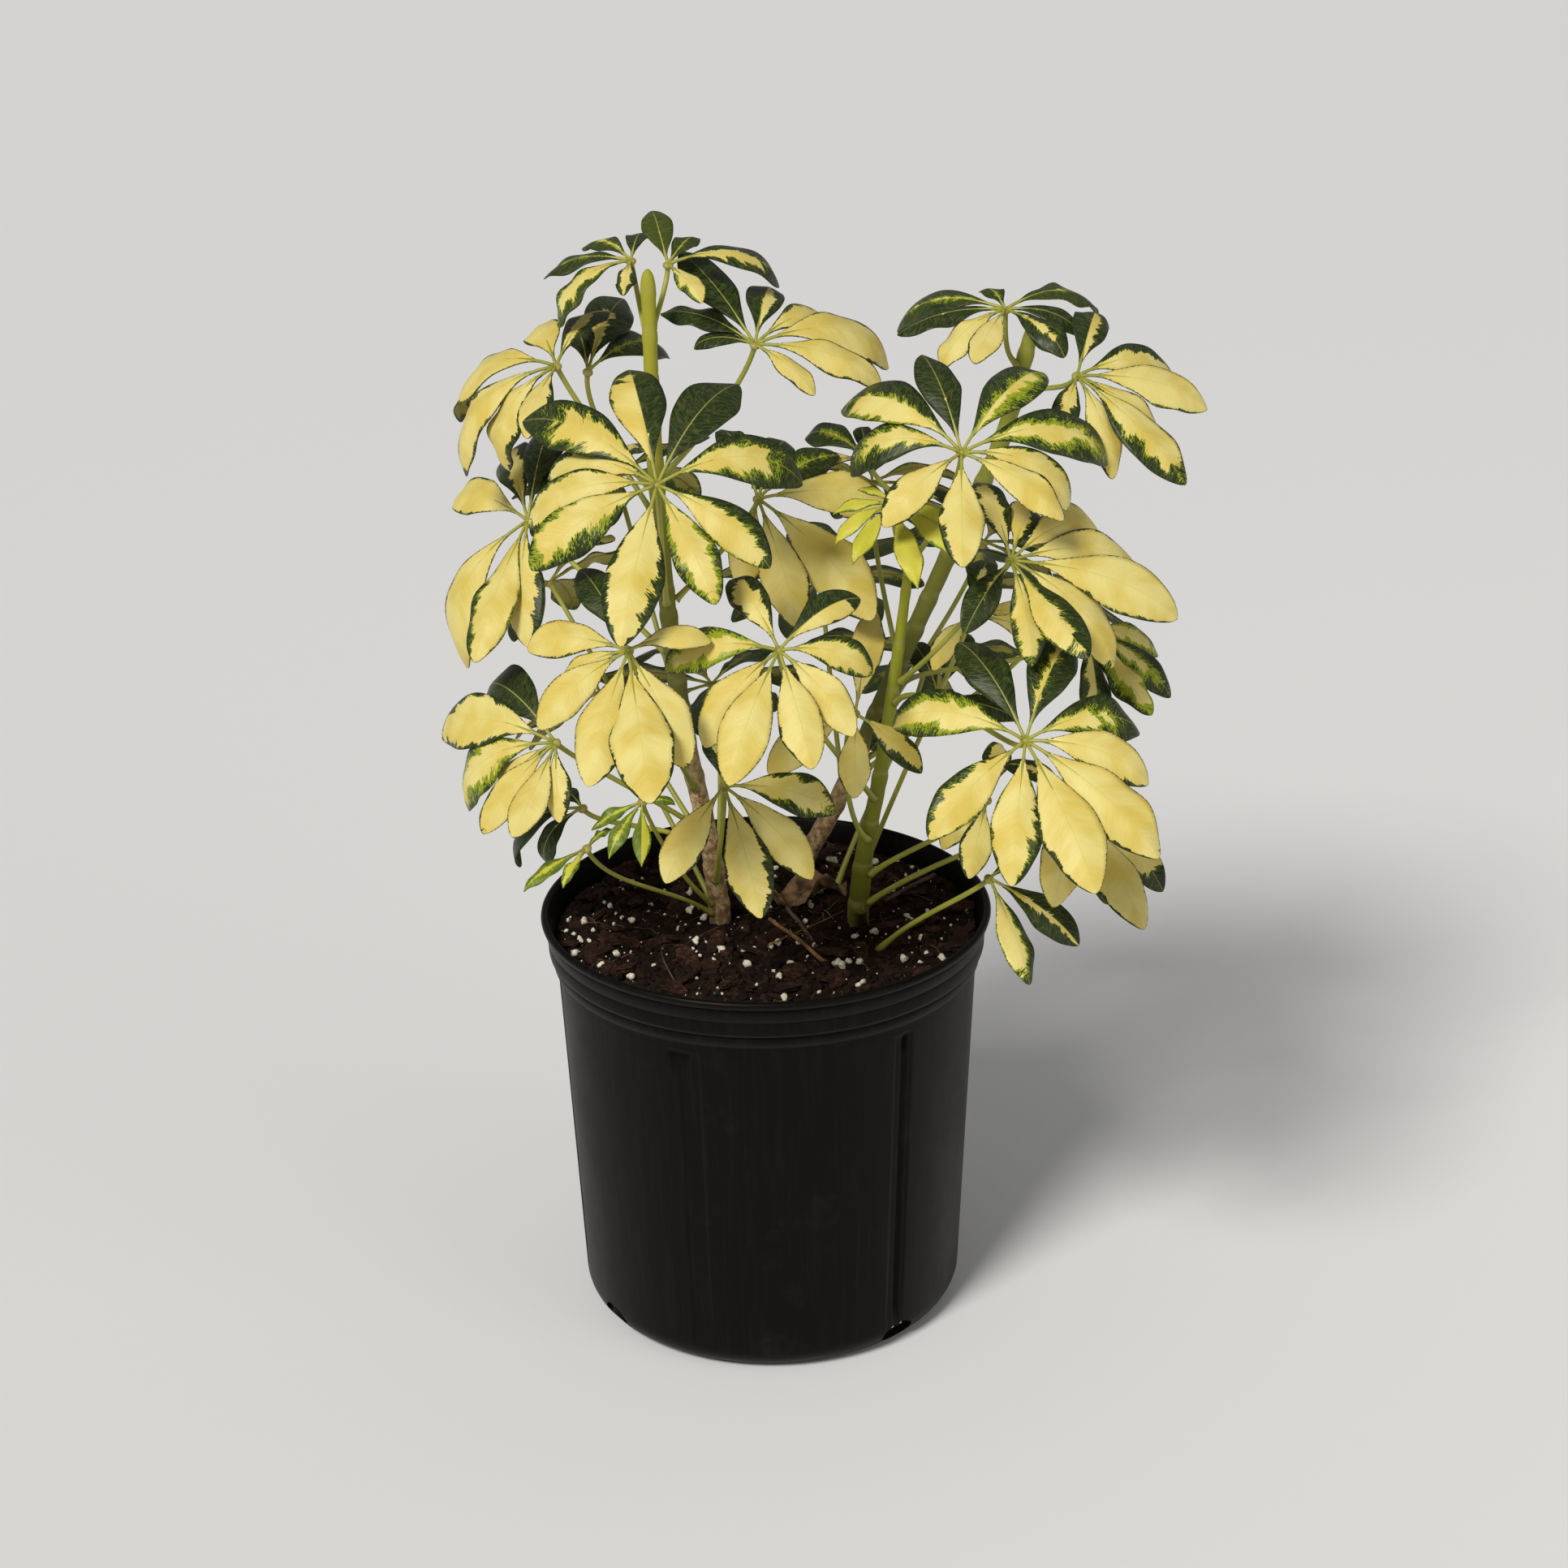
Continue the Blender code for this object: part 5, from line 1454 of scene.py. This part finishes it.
# %% Pot material, and make the pot
def pot_material():
    """Black blow-moulded plastic."""
    made, tree, shader = new_material("pot_plastic", 0.40, 0.10)
    shader.inputs["Specular Tint"].default_value = (1.0, 0.90, 0.80, 1)
    place = object_place(tree)
    streaks = soft_step(cloud(stretched(place, (260, 260, 12)), 1.0, 4.0, 0.6), 0.45, 0.75)
    dust = cloud(place, 30.0, 5.0, 0.65)
    painted_shade_and_highlight = read_attribute(tree, "painted_shade_and_highlight", "Fac")
    # sunk is the share of painted shade.
    sunk = clamped(painted_shade_and_highlight)
    colour = mix_colour(streaks, (0.0030, 0.0027, 0.0024), (0.0060, 0.0054, 0.0048))
    colour = mix_colour(soft_step(dust, 0.55, 0.8) * 0.25, colour, (0.030, 0.026, 0.021))
    # Painted highlight on the band's edges, where the attribute is below zero.
    colour = mix_colour(clamped(painted_shade_and_highlight * -1.0), colour, (0.020, 0.018, 0.016))
    # Painted shade in the channels, notches and grooves.
    colour = mix_colour(sunk, colour, (0.0012, 0.0010, 0.0009))
    roughness = mix_value(sunk, dust * 0.20 + 0.32, 0.90)
    finish_material(shader, colour, cloud(place, 900.0), 0.0002, 0.2, roughness)
    return made


def make_pot():
    """The pot, turned, pressed and cut."""
    bm = turned_body(pot_section(), POT_STEPS)
    press_wall(bm)
    smooth_faces(bm)
    pot = add_piece("nursery_pot", bm, [pot_material()], ["pot"])
    cut(pot, [drain_cutter(angle) for angle in DRAIN_ANGLES])
    pot.data.set_sharp_from_angle(angle=math.radians(50))
    return pot


nursery_pot = make_pot()
print(f"pot: {len(nursery_pot.data.polygons)} faces")

# %% [markdown]
# ## Potting mix
#
# The mix is peat crumbs, bark chips, white perlite, a few fibres and green beads of fertiliser. The
# ground is a turned disc, raised by noise of several sizes. Everything else is scattered over it from
# seeded draws and set down on the ground's own height, each kind as one piece. A little of the mix also
# fills the drain openings.

# %% Ground
SOIL_RELIEF = 0.0022
MIX_OVER_WALL = 0.0024
GROUND_RINGS = 74
GROUND_STEPS = 300


def ground_height(x, y):
    """Height of the mix: the plain solid's hills, with clods and crumbs on them."""
    coarse = noise.noise(Vector((x * 42, y * 42, 0.5)))
    fine = noise.noise(Vector((x * 120, y * 120, 3.5)))
    mound = 0.004 * (1 - (x * x + y * y) / RIM_RADIUS**2)
    clods = abs(noise.noise(Vector((x * 210, y * 210, 7.5)))) * 0.0028
    crumbs = noise.noise(Vector((x * 520, y * 520, 9.5))) * 0.0011
    return SOIL_TOP + mound + SOIL_RELIEF * (coarse + 0.6 * fine) + clods + crumbs - 0.0008


def ground_section():
    """Half section of the root ball."""
    foot = body_radius(FOOT_ROUNDING)
    edge = BODY_TOP_RADIUS - WALL + MIX_OVER_WALL
    rings = [(edge * ring / GROUND_RINGS, SOIL_TOP) for ring in range(GROUND_RINGS + 1)]
    return rings + [
        (BODY_TOP_RADIUS - WALL - GAP, BAND_FOOT),
        (foot - WALL - GAP, FOOT_ROUNDING),
        (foot - FOOT_ROUNDING - GAP, FLOOR + GAP),
        (0, FLOOR + GAP),
    ]


def mix_material(name, dark, light, roughness=0.95):
    """Damp peat or bark in two browns."""
    made, tree, shader = new_material(name, roughness, 0.16)
    place = object_place(tree)
    shade = cloud(place, 260.0, 5.0, 0.7)
    factor = soft_step(shade, 0.42, 0.72) * soft_step(cloud(place, 70.0, 3.0), 0.30, 0.62)
    finish_material(shader, mix_colour(factor, dark, light), shade, 0.0012, 0.7)
    return made


def make_ground():
    """The potting mix with its crumbled top."""
    bm = turned_body(ground_section(), GROUND_STEPS)
    for vert in bm.verts:
        if vert.co.z > SOIL_TOP - 0.0001:
            vert.co.z = ground_height(vert.co.x, vert.co.y)
    material = mix_material("peat", (0.010, 0.0050, 0.0028), (0.052, 0.027, 0.015))
    return add_piece("potting_mix", bm, [material], ["soil"])


potting_mix = make_ground()
print(f"ground: {len(potting_mix.data.polygons)} faces")

# %% [markdown]
# Crumbs, perlite and beads are all lumps: small spheres, flattened, turned and roughened. Those at the
# drain openings lie along the slanted edge of the root ball instead of on top.

# %% Places on the mix, and lumps
SPREAD_RADIUS = 0.1155
LUMP_TILT = 1.2
DRAIN_LUMP_ROUGHNESS = 0.8
ROOTED = [metres(stem["line"][0]) for stem in STEMS.values()]
ROOTED += [root_point(leaf) for leaf in LEAVES.values() if "root" in leaf]


def spots(count, seed, clearance=0.008):
    """Seeded places over the mix, clear of the stems, each with its own draws."""
    draw = random.Random(seed)
    found = []
    while len(found) < count:
        radius, turn = SPREAD_RADIUS * math.sqrt(draw.random()), draw.uniform(0, math.tau)
        x, y = radius * math.cos(turn), radius * math.sin(turn)
        if all((Vector((x, y)) - foot.xy).length > clearance for foot in ROOTED):
            found.append((Vector((x, y, ground_height(x, y))), draw))
    return found


def random_turn(draw, tilt):
    """A turn about +Z with a small tilt."""
    return (
        Matrix.Rotation(draw.uniform(0, math.tau), 4, "Z")
        @ Matrix.Rotation(draw.uniform(-tilt, tilt), 4, "X")
        @ Matrix.Rotation(draw.uniform(-tilt, tilt), 4, "Y")
    )


def roughen(verts, centre, amount, scale, seed):
    """Pushes points in and out by noise, so that no two lumps are alike."""
    for vert in verts:
        away = vert.co - centre
        vert.co = centre + away * (1 + amount * noise.noise(away * scale + Vector((seed, 0, 0))))


def scatter_lumps(name, count, seed, size, flatness, material, cuts=1, rough=0.5, raised=0.25):
    """Small round lumps such as crumbs, perlite or beads, as one piece."""
    bm = bmesh.new()
    for place, draw in spots(count, seed):
        radius = size[0] + (size[1] - size[0]) * draw.random() ** 2.2
        centre = place + Vector((0, 0, radius * raised))
        turned = Matrix.Translation(centre) @ random_turn(draw, LUMP_TILT)
        shape = turned @ Matrix.Diagonal((1, draw.uniform(0.7, 1.0), flatness * draw.uniform(0.8, 1.1), 1))
        made = bmesh.ops.create_icosphere(bm, subdivisions=cuts, radius=radius, matrix=shape)
        roughen(made["verts"], centre, rough, 1.1 / radius, draw.uniform(0, 90))
    smooth_faces(bm)
    return add_piece(name, bm, [material])


def scatter_at_drains(name, count, seed, size, material):
    """Lumps of the mix that show inside the drain openings."""
    bm = bmesh.new()
    draw = random.Random(seed)
    low, high = body_radius(FOOT_ROUNDING) - FOOT_ROUNDING, body_radius(FOOT_ROUNDING) - WALL
    for index in range(count * len(DRAIN_ANGLES)):
        turn = turn_from_front(DRAIN_ANGLES[index % len(DRAIN_ANGLES)]) + draw.uniform(-0.08, 0.08)
        height, radius = draw.uniform(0.0065, 0.0135), draw.uniform(*size)
        reach = low + (high - low) * (height - FLOOR) / (FOOT_ROUNDING - FLOOR) + draw.uniform(0, 0.002)
        centre = Vector((reach * math.cos(turn), reach * math.sin(turn), height))
        shape = Matrix.Translation(centre) @ random_turn(draw, LUMP_TILT)
        made = bmesh.ops.create_icosphere(bm, subdivisions=2, radius=radius, matrix=shape)
        roughen(made["verts"], centre, DRAIN_LUMP_ROUGHNESS, 1.1 / radius, draw.uniform(0, 90))
    return add_piece(name, bm, [material])


# %% [markdown]
# A chip of bark is a cut-up box whose corners noise has pushed about, narrower towards its ends. A
# fibre is a thin rod that turns a little at each step and rises between its ends.

# %% Chips and fibres
CHIP_CLEARANCE = 0.011
CHIP_TILT = 0.42
FIBRE_STEPS = 8


def scatter_chips(name, count, seed, material):
    """Flat splintered chips of bark."""
    bm = bmesh.new()
    for place, draw in spots(count, seed, CHIP_CLEARANCE):
        length, width = draw.uniform(0.006, 0.021), draw.uniform(0.004, 0.011)
        thickness = draw.uniform(0.0012, 0.0030)
        shape = Matrix.Translation(place + Vector((0, 0, thickness * 0.5))) @ random_turn(draw, CHIP_TILT)
        small = bmesh.new()
        bmesh.ops.create_cube(small, size=1)
        bmesh.ops.subdivide_edges(small, edges=small.edges, cuts=2, use_grid_fill=True)
        for vert in small.verts:
            taper = 1 - 0.55 * abs(vert.co.x) ** 2 * 4 * draw.uniform(0.6, 1.0)
            vert.co.y *= taper
            vert.co += Vector((0.12, 0.16, 0.30)) * noise.noise(vert.co * 2.1 + place * 900)
        sized = shape @ Matrix.Diagonal((length, width, thickness, 1))
        bmesh.ops.transform(small, matrix=sized, verts=small.verts)
        mesh = mesh_from("chip", small)
        bm.from_mesh(mesh)
        bpy.data.meshes.remove(mesh)
    return add_piece(name, bm, [material])


def scatter_fibres(name, count, seed, material):
    """Fine roots and coir fibres that lie in loose arcs."""
    bm = bmesh.new()
    for place, draw in spots(count, seed):
        turn, length = draw.uniform(0, math.tau), draw.uniform(0.010, 0.030)
        bend, hump = draw.uniform(-1.6, 1.6), draw.uniform(0.0005, 0.0030)
        line, radius = [], draw.uniform(0.00012, 0.00030)
        for step in range(FIBRE_STEPS + 1):
            t = step / FIBRE_STEPS
            turn += bend / FIBRE_STEPS
            place = place + Vector((math.cos(turn), math.sin(turn), 0)) * length / FIBRE_STEPS
            if place.xy.length > SPREAD_RADIUS:
                place.xy *= SPREAD_RADIUS / place.xy.length
            lifted = ground_height(place.x, place.y) + hump * math.sin(math.pi * t)
            line.append(Vector((place.x, place.y, lifted)))
        add_rod(bm, line, [radius] * len(line), sides=4)
    return add_piece(name, bm, [material])


# %% [markdown]
# Each kind has its own sizes and its own two colours. A few large grains of perlite catch the eye, and
# many small ones fill in between them.

# %% Scatter everything over the mix
def plain_material(name, dark, light, scale, roughness, specular=0.4, relief=0.0004):
    """Two tones of one colour in soft patches, with a fine relief."""
    made, tree, shader = new_material(name, roughness, specular)
    shade = cloud(object_place(tree), scale, 3.0, 0.6)
    finish_material(shader, mix_colour(soft_step(shade, 0.35, 0.65), dark, light), shade, relief, 0.6)
    return made


crumb_mix = mix_material("crumbs", (0.007, 0.004, 0.0025), (0.050, 0.026, 0.015))
bark_chip = mix_material("bark_chip", (0.020, 0.0085, 0.0050), (0.105, 0.044, 0.024), 0.80)
perlite = plain_material("perlite", (0.60, 0.51, 0.37), (0.95, 0.89, 0.76), 700.0, 0.9, 0.3)
fibre = plain_material("fibre", (0.08, 0.042, 0.020), (0.22, 0.13, 0.065), 120.0, 0.8)
bead = plain_material("fertiliser", (0.004, 0.05, 0.025), (0.010, 0.11, 0.06), 200.0, 0.45)
litter_pieces = [
    scatter_lumps("crumbs_large", 420, 21, (0.0012, 0.0042), 0.7, crumb_mix),
    scatter_lumps("crumbs_small", 900, 22, (0.0006, 0.0018), 0.8, crumb_mix),
    scatter_chips("bark_chips", 150, 23, bark_chip),
    scatter_lumps("perlite_large", 7, 28, (0.0028, 0.0040), 0.85, perlite, cuts=3, rough=1.1, raised=0.6),
    scatter_lumps("perlite_medium", 150, 24, (0.0009, 0.0026), 0.85, perlite, cuts=2, rough=0.8, raised=0.8),
    scatter_lumps("perlite_small", 320, 25, (0.0003, 0.0009), 0.9, perlite, raised=1.0),
    scatter_at_drains("drain_crumbs", 14, 29, (0.0008, 0.0021), bark_chip),
    scatter_at_drains("drain_perlite", 4, 30, (0.0007, 0.0015), perlite),
    scatter_fibres("fibres", 45, 26, fibre),
    scatter_lumps("fertiliser_beads", 18, 27, (0.0009, 0.0014), 0.95, bead, cuts=2, rough=0.05, raised=0.7),
]
print({piece.name: len(piece.data.polygons) for piece in litter_pieces})

# %% [markdown]
# ## What has fallen
#
# Three dry leafstalks and one shrivelled leaf lie on the mix. The solids came to rest on the ground, so
# the fine ones read their place from them: each dry stalk runs through the middles of its solid's ends,
# and the crumpled leaf is laid at its solid's height. A twig and a root hair, too thin for solids of
# their own, arch from one place on the ground to another.

# %% Make the fallen pieces
DRY_STALKS = {
    "dry_stalk_front": ((2, -12), (33, -60)),
    "dry_stalk_middle": ((12, 2), (28, -40)),
    "dry_stalk_right": ((68, 20), (98, 56)),
}
THREADS = {
    "thin_twig": dict(ends=((-5, -40), (45, 10)), bow=0.06, rise=2.5, radius=0.55),
    "root_hair": dict(ends=((-50, -75), (-40, -35)), bow=-0.30, rise=9.0, radius=0.40),
}
SHRIVELLED_LEAF = dict(centre=(20, 22), length=0.052, width=0.026)
DEAD_LEAF_THICKNESS = 0.0004
DRY_STALK_STEPS = 16
DRY_STALK_RADIUS = 0.00115
THREAD_STEPS = 24


def middle_near(node, x, y):
    """Middle of the corners of a solid that lie near a point seen from above."""
    corners = [vert.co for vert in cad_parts[node].data.vertices]
    near = [corner for corner in corners if (corner.xy - Vector((x, y))).length < 0.004]
    return sum(near, Vector()) / len(near)


def make_dry_stalk(node, material):
    """A fallen leafstalk with a swollen, torn end."""
    (x0, y0), (x1, y1) = DRY_STALKS[node]
    start, end = middle_near(node, x0 / 1000, y0 / 1000), middle_near(node, x1 / 1000, y1 / 1000)
    draw = random.Random(node)
    line, radii = [], []
    for step in range(DRY_STALK_STEPS + 1):
        t = step / DRY_STALK_STEPS
        sway = Vector((1, 1, 0)) * 0.0010 * noise.noise(Vector((t * 3, draw.random() * 0.01, len(node))))
        line.append(start.lerp(end, t) + sway + Vector((0, 0, 0.0010 * math.sin(math.pi * t))))
        uneven = 0.0002 * noise.noise(Vector((t * 9, 2, 5)))
        radii.append(DRY_STALK_RADIUS + 0.0007 * math.exp(-(1 - t) / 0.05) + uneven)
    bm = bmesh.new()
    add_rod(bm, line, radii, sides=9)
    return add_piece(node.replace("dry_stalk", "fallen_stalk"), bm, [material], [node])


def make_shrivelled_leaf(material):
    """A dead leaf, crumpled into ridges."""
    shape = SHRIVELLED_LEAF
    bm = bmesh.new()
    bmesh.ops.create_grid(bm, x_segments=54, y_segments=30, size=1)
    for vert in bm.verts:
        along, across = vert.co.x, vert.co.y
        taper = math.cos(along * 1.25) ** 0.6 * (1 + 0.16 * math.sin(along * 13) * abs(across))
        x = along * shape["length"] / 2
        y = across * taper * shape["width"] / 2 + 0.004 * math.sin(along * 3)
        ridge = abs(noise.noise(Vector((x * 130, y * 160, 4.1)))) * 0.0060
        curl = 0.0130 * max(abs(across) - 0.30, 0) ** 1.5 * (1.2 + math.sin(along * 5 + across))
        z = 0.005 * noise.noise(Vector((x * 70, y * 90, 1.3)))
        z += 0.004 * (1 - across * across) + 0.004 * along * along
        vert.co = Vector((x, y, z + ridge + curl)) + metres((*shape["centre"], 0))
    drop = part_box("shrivelled_leaf")[0].z - min(vert.co.z for vert in bm.verts)
    bmesh.ops.translate(bm, vec=(0, 0, drop), verts=bm.verts)
    smooth_faces(bm)
    update_faces(bm)
    bmesh.ops.solidify(bm, geom=bm.faces[:], thickness=DEAD_LEAF_THICKNESS)
    return add_piece("crumpled_leaf", bm, [material], ["shrivelled_leaf"])


def make_thread(name, material):
    """A twig or a root hair that lies on the mix, arched and thin at its end."""
    shape = THREADS[name]
    (x0, y0), (x1, y1) = shape["ends"]
    start, end = Vector((x0, y0, 0)) / 1000, Vector((x1, y1, 0)) / 1000
    aside = (end - start).cross(Vector((0, 0, 1)))
    line, radii = [], []
    for step in range(THREAD_STEPS + 1):
        t = step / THREAD_STEPS
        hump = math.sin(math.pi * t)
        place = start.lerp(end, t) + aside * shape["bow"] * hump
        place.z = ground_height(start.x, start.y) * (1 - t) + ground_height(end.x, end.y) * t
        line.append(place + Vector((0, 0, shape["rise"] / 1000 * hump + 0.0006)))
        radii.append(shape["radius"] / 1000 * (1 - 0.55 * t))
    bm = bmesh.new()
    add_rod(bm, line, radii, sides=7)
    return add_piece(name, bm, [material])


dry_stalk = plain_material("dry_stalk", (0.14, 0.065, 0.020), (0.36, 0.20, 0.07), 90.0, 0.6)
dark_stalk = plain_material("dark_stalk", (0.035, 0.022, 0.014), (0.12, 0.080, 0.052), 90.0, 0.7)
dead_leaf = plain_material("dead_leaf", (0.085, 0.043, 0.020), (0.26, 0.155, 0.075), 110.0, 0.75, 0.4, 0.001)
fallen = [
    make_dry_stalk("dry_stalk_front", dry_stalk),
    make_dry_stalk("dry_stalk_middle", dark_stalk),
    make_dry_stalk("dry_stalk_right", dark_stalk),
    make_thread("thin_twig", dry_stalk),
    make_thread("root_hair", dark_stalk),
    make_shrivelled_leaf(dead_leaf),
]
print([piece.name for piece in fallen])

# %% [markdown]
# ## Studio
#
# A pale floor, a white surround and one soft sun give an even light with gentle shadows. The sun stands
# to the front left and above. Its wide angle makes its shadows soft, and because it is equally strong
# everywhere, the floor stays pale as far as one sees. A large lamp fills the right side a little.

# %% Floor, lamps and surround
FLOOR_SIZE = 60
SUN_STRENGTH = 2.45
SUN_ANGLE = 18
FILL_STRENGTH = 6
SURROUND_STRENGTH = 0.22
FLOOR_COLOUR = (0.86, 0.86, 0.86, 1)
LIGHT_COLOUR = (1, 0.98, 0.95)
LIT_POINT = Vector((0, 0, 0.35))


def add_floor():
    """A plain pale floor."""
    bm = bmesh.new()
    bmesh.ops.create_grid(bm, x_segments=1, y_segments=1, size=FLOOR_SIZE)
    made, _, shader = new_material("floor", 0.9, 0.1)
    shader.inputs["Base Color"].default_value = FLOOR_COLOUR
    mesh = mesh_from("floor", bm)
    mesh.materials.append(made)
    add_object("floor", mesh)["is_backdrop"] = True


def add_light(name, kind, place, strength):
    """A light that looks at the plant from a place."""
    light = bpy.data.lights.new(name, kind)
    light.energy = strength
    light.color = LIGHT_COLOUR
    lamp = add_object(name, light)
    lamp.location = place
    lamp.rotation_euler = (LIT_POINT - Vector(place)).to_track_quat("-Z", "Y").to_euler()
    return light


add_floor()
key = add_light("key", "SUN", (-0.9, -1.4, 2.0), SUN_STRENGTH)
key.angle = math.radians(SUN_ANGLE)
fill = add_light("fill", "AREA", (1.7, -1.3, 1.1), FILL_STRENGTH)
fill.size = 1.3
world = bpy.data.worlds.new("surround")
world.use_nodes = True
background = world.node_tree.nodes["Background"]
background.inputs["Color"].default_value = (1, 1, 1, 1)
background.inputs["Strength"].default_value = SURROUND_STRENGTH
bpy.context.scene.world = world
bpy.context.scene.view_settings.view_transform = "Standard"
print(f"{len(bpy.data.lights)} lamps over a floor {FLOOR_SIZE * 2} m wide")

# %% [markdown]
# ## Last measures
#
# The dressed plant is meant to stay the size of the plain one, so how far its box has grown past the plain
# one's on each side is printed.

# %% Compare the sizes and finish
look_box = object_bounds()
grown_by = (*(cad_box[0] - look_box[0]), *(look_box[1] - cad_box[1]))
print("grown by", [round(side * 1000, 1) for side in grown_by], "mm")
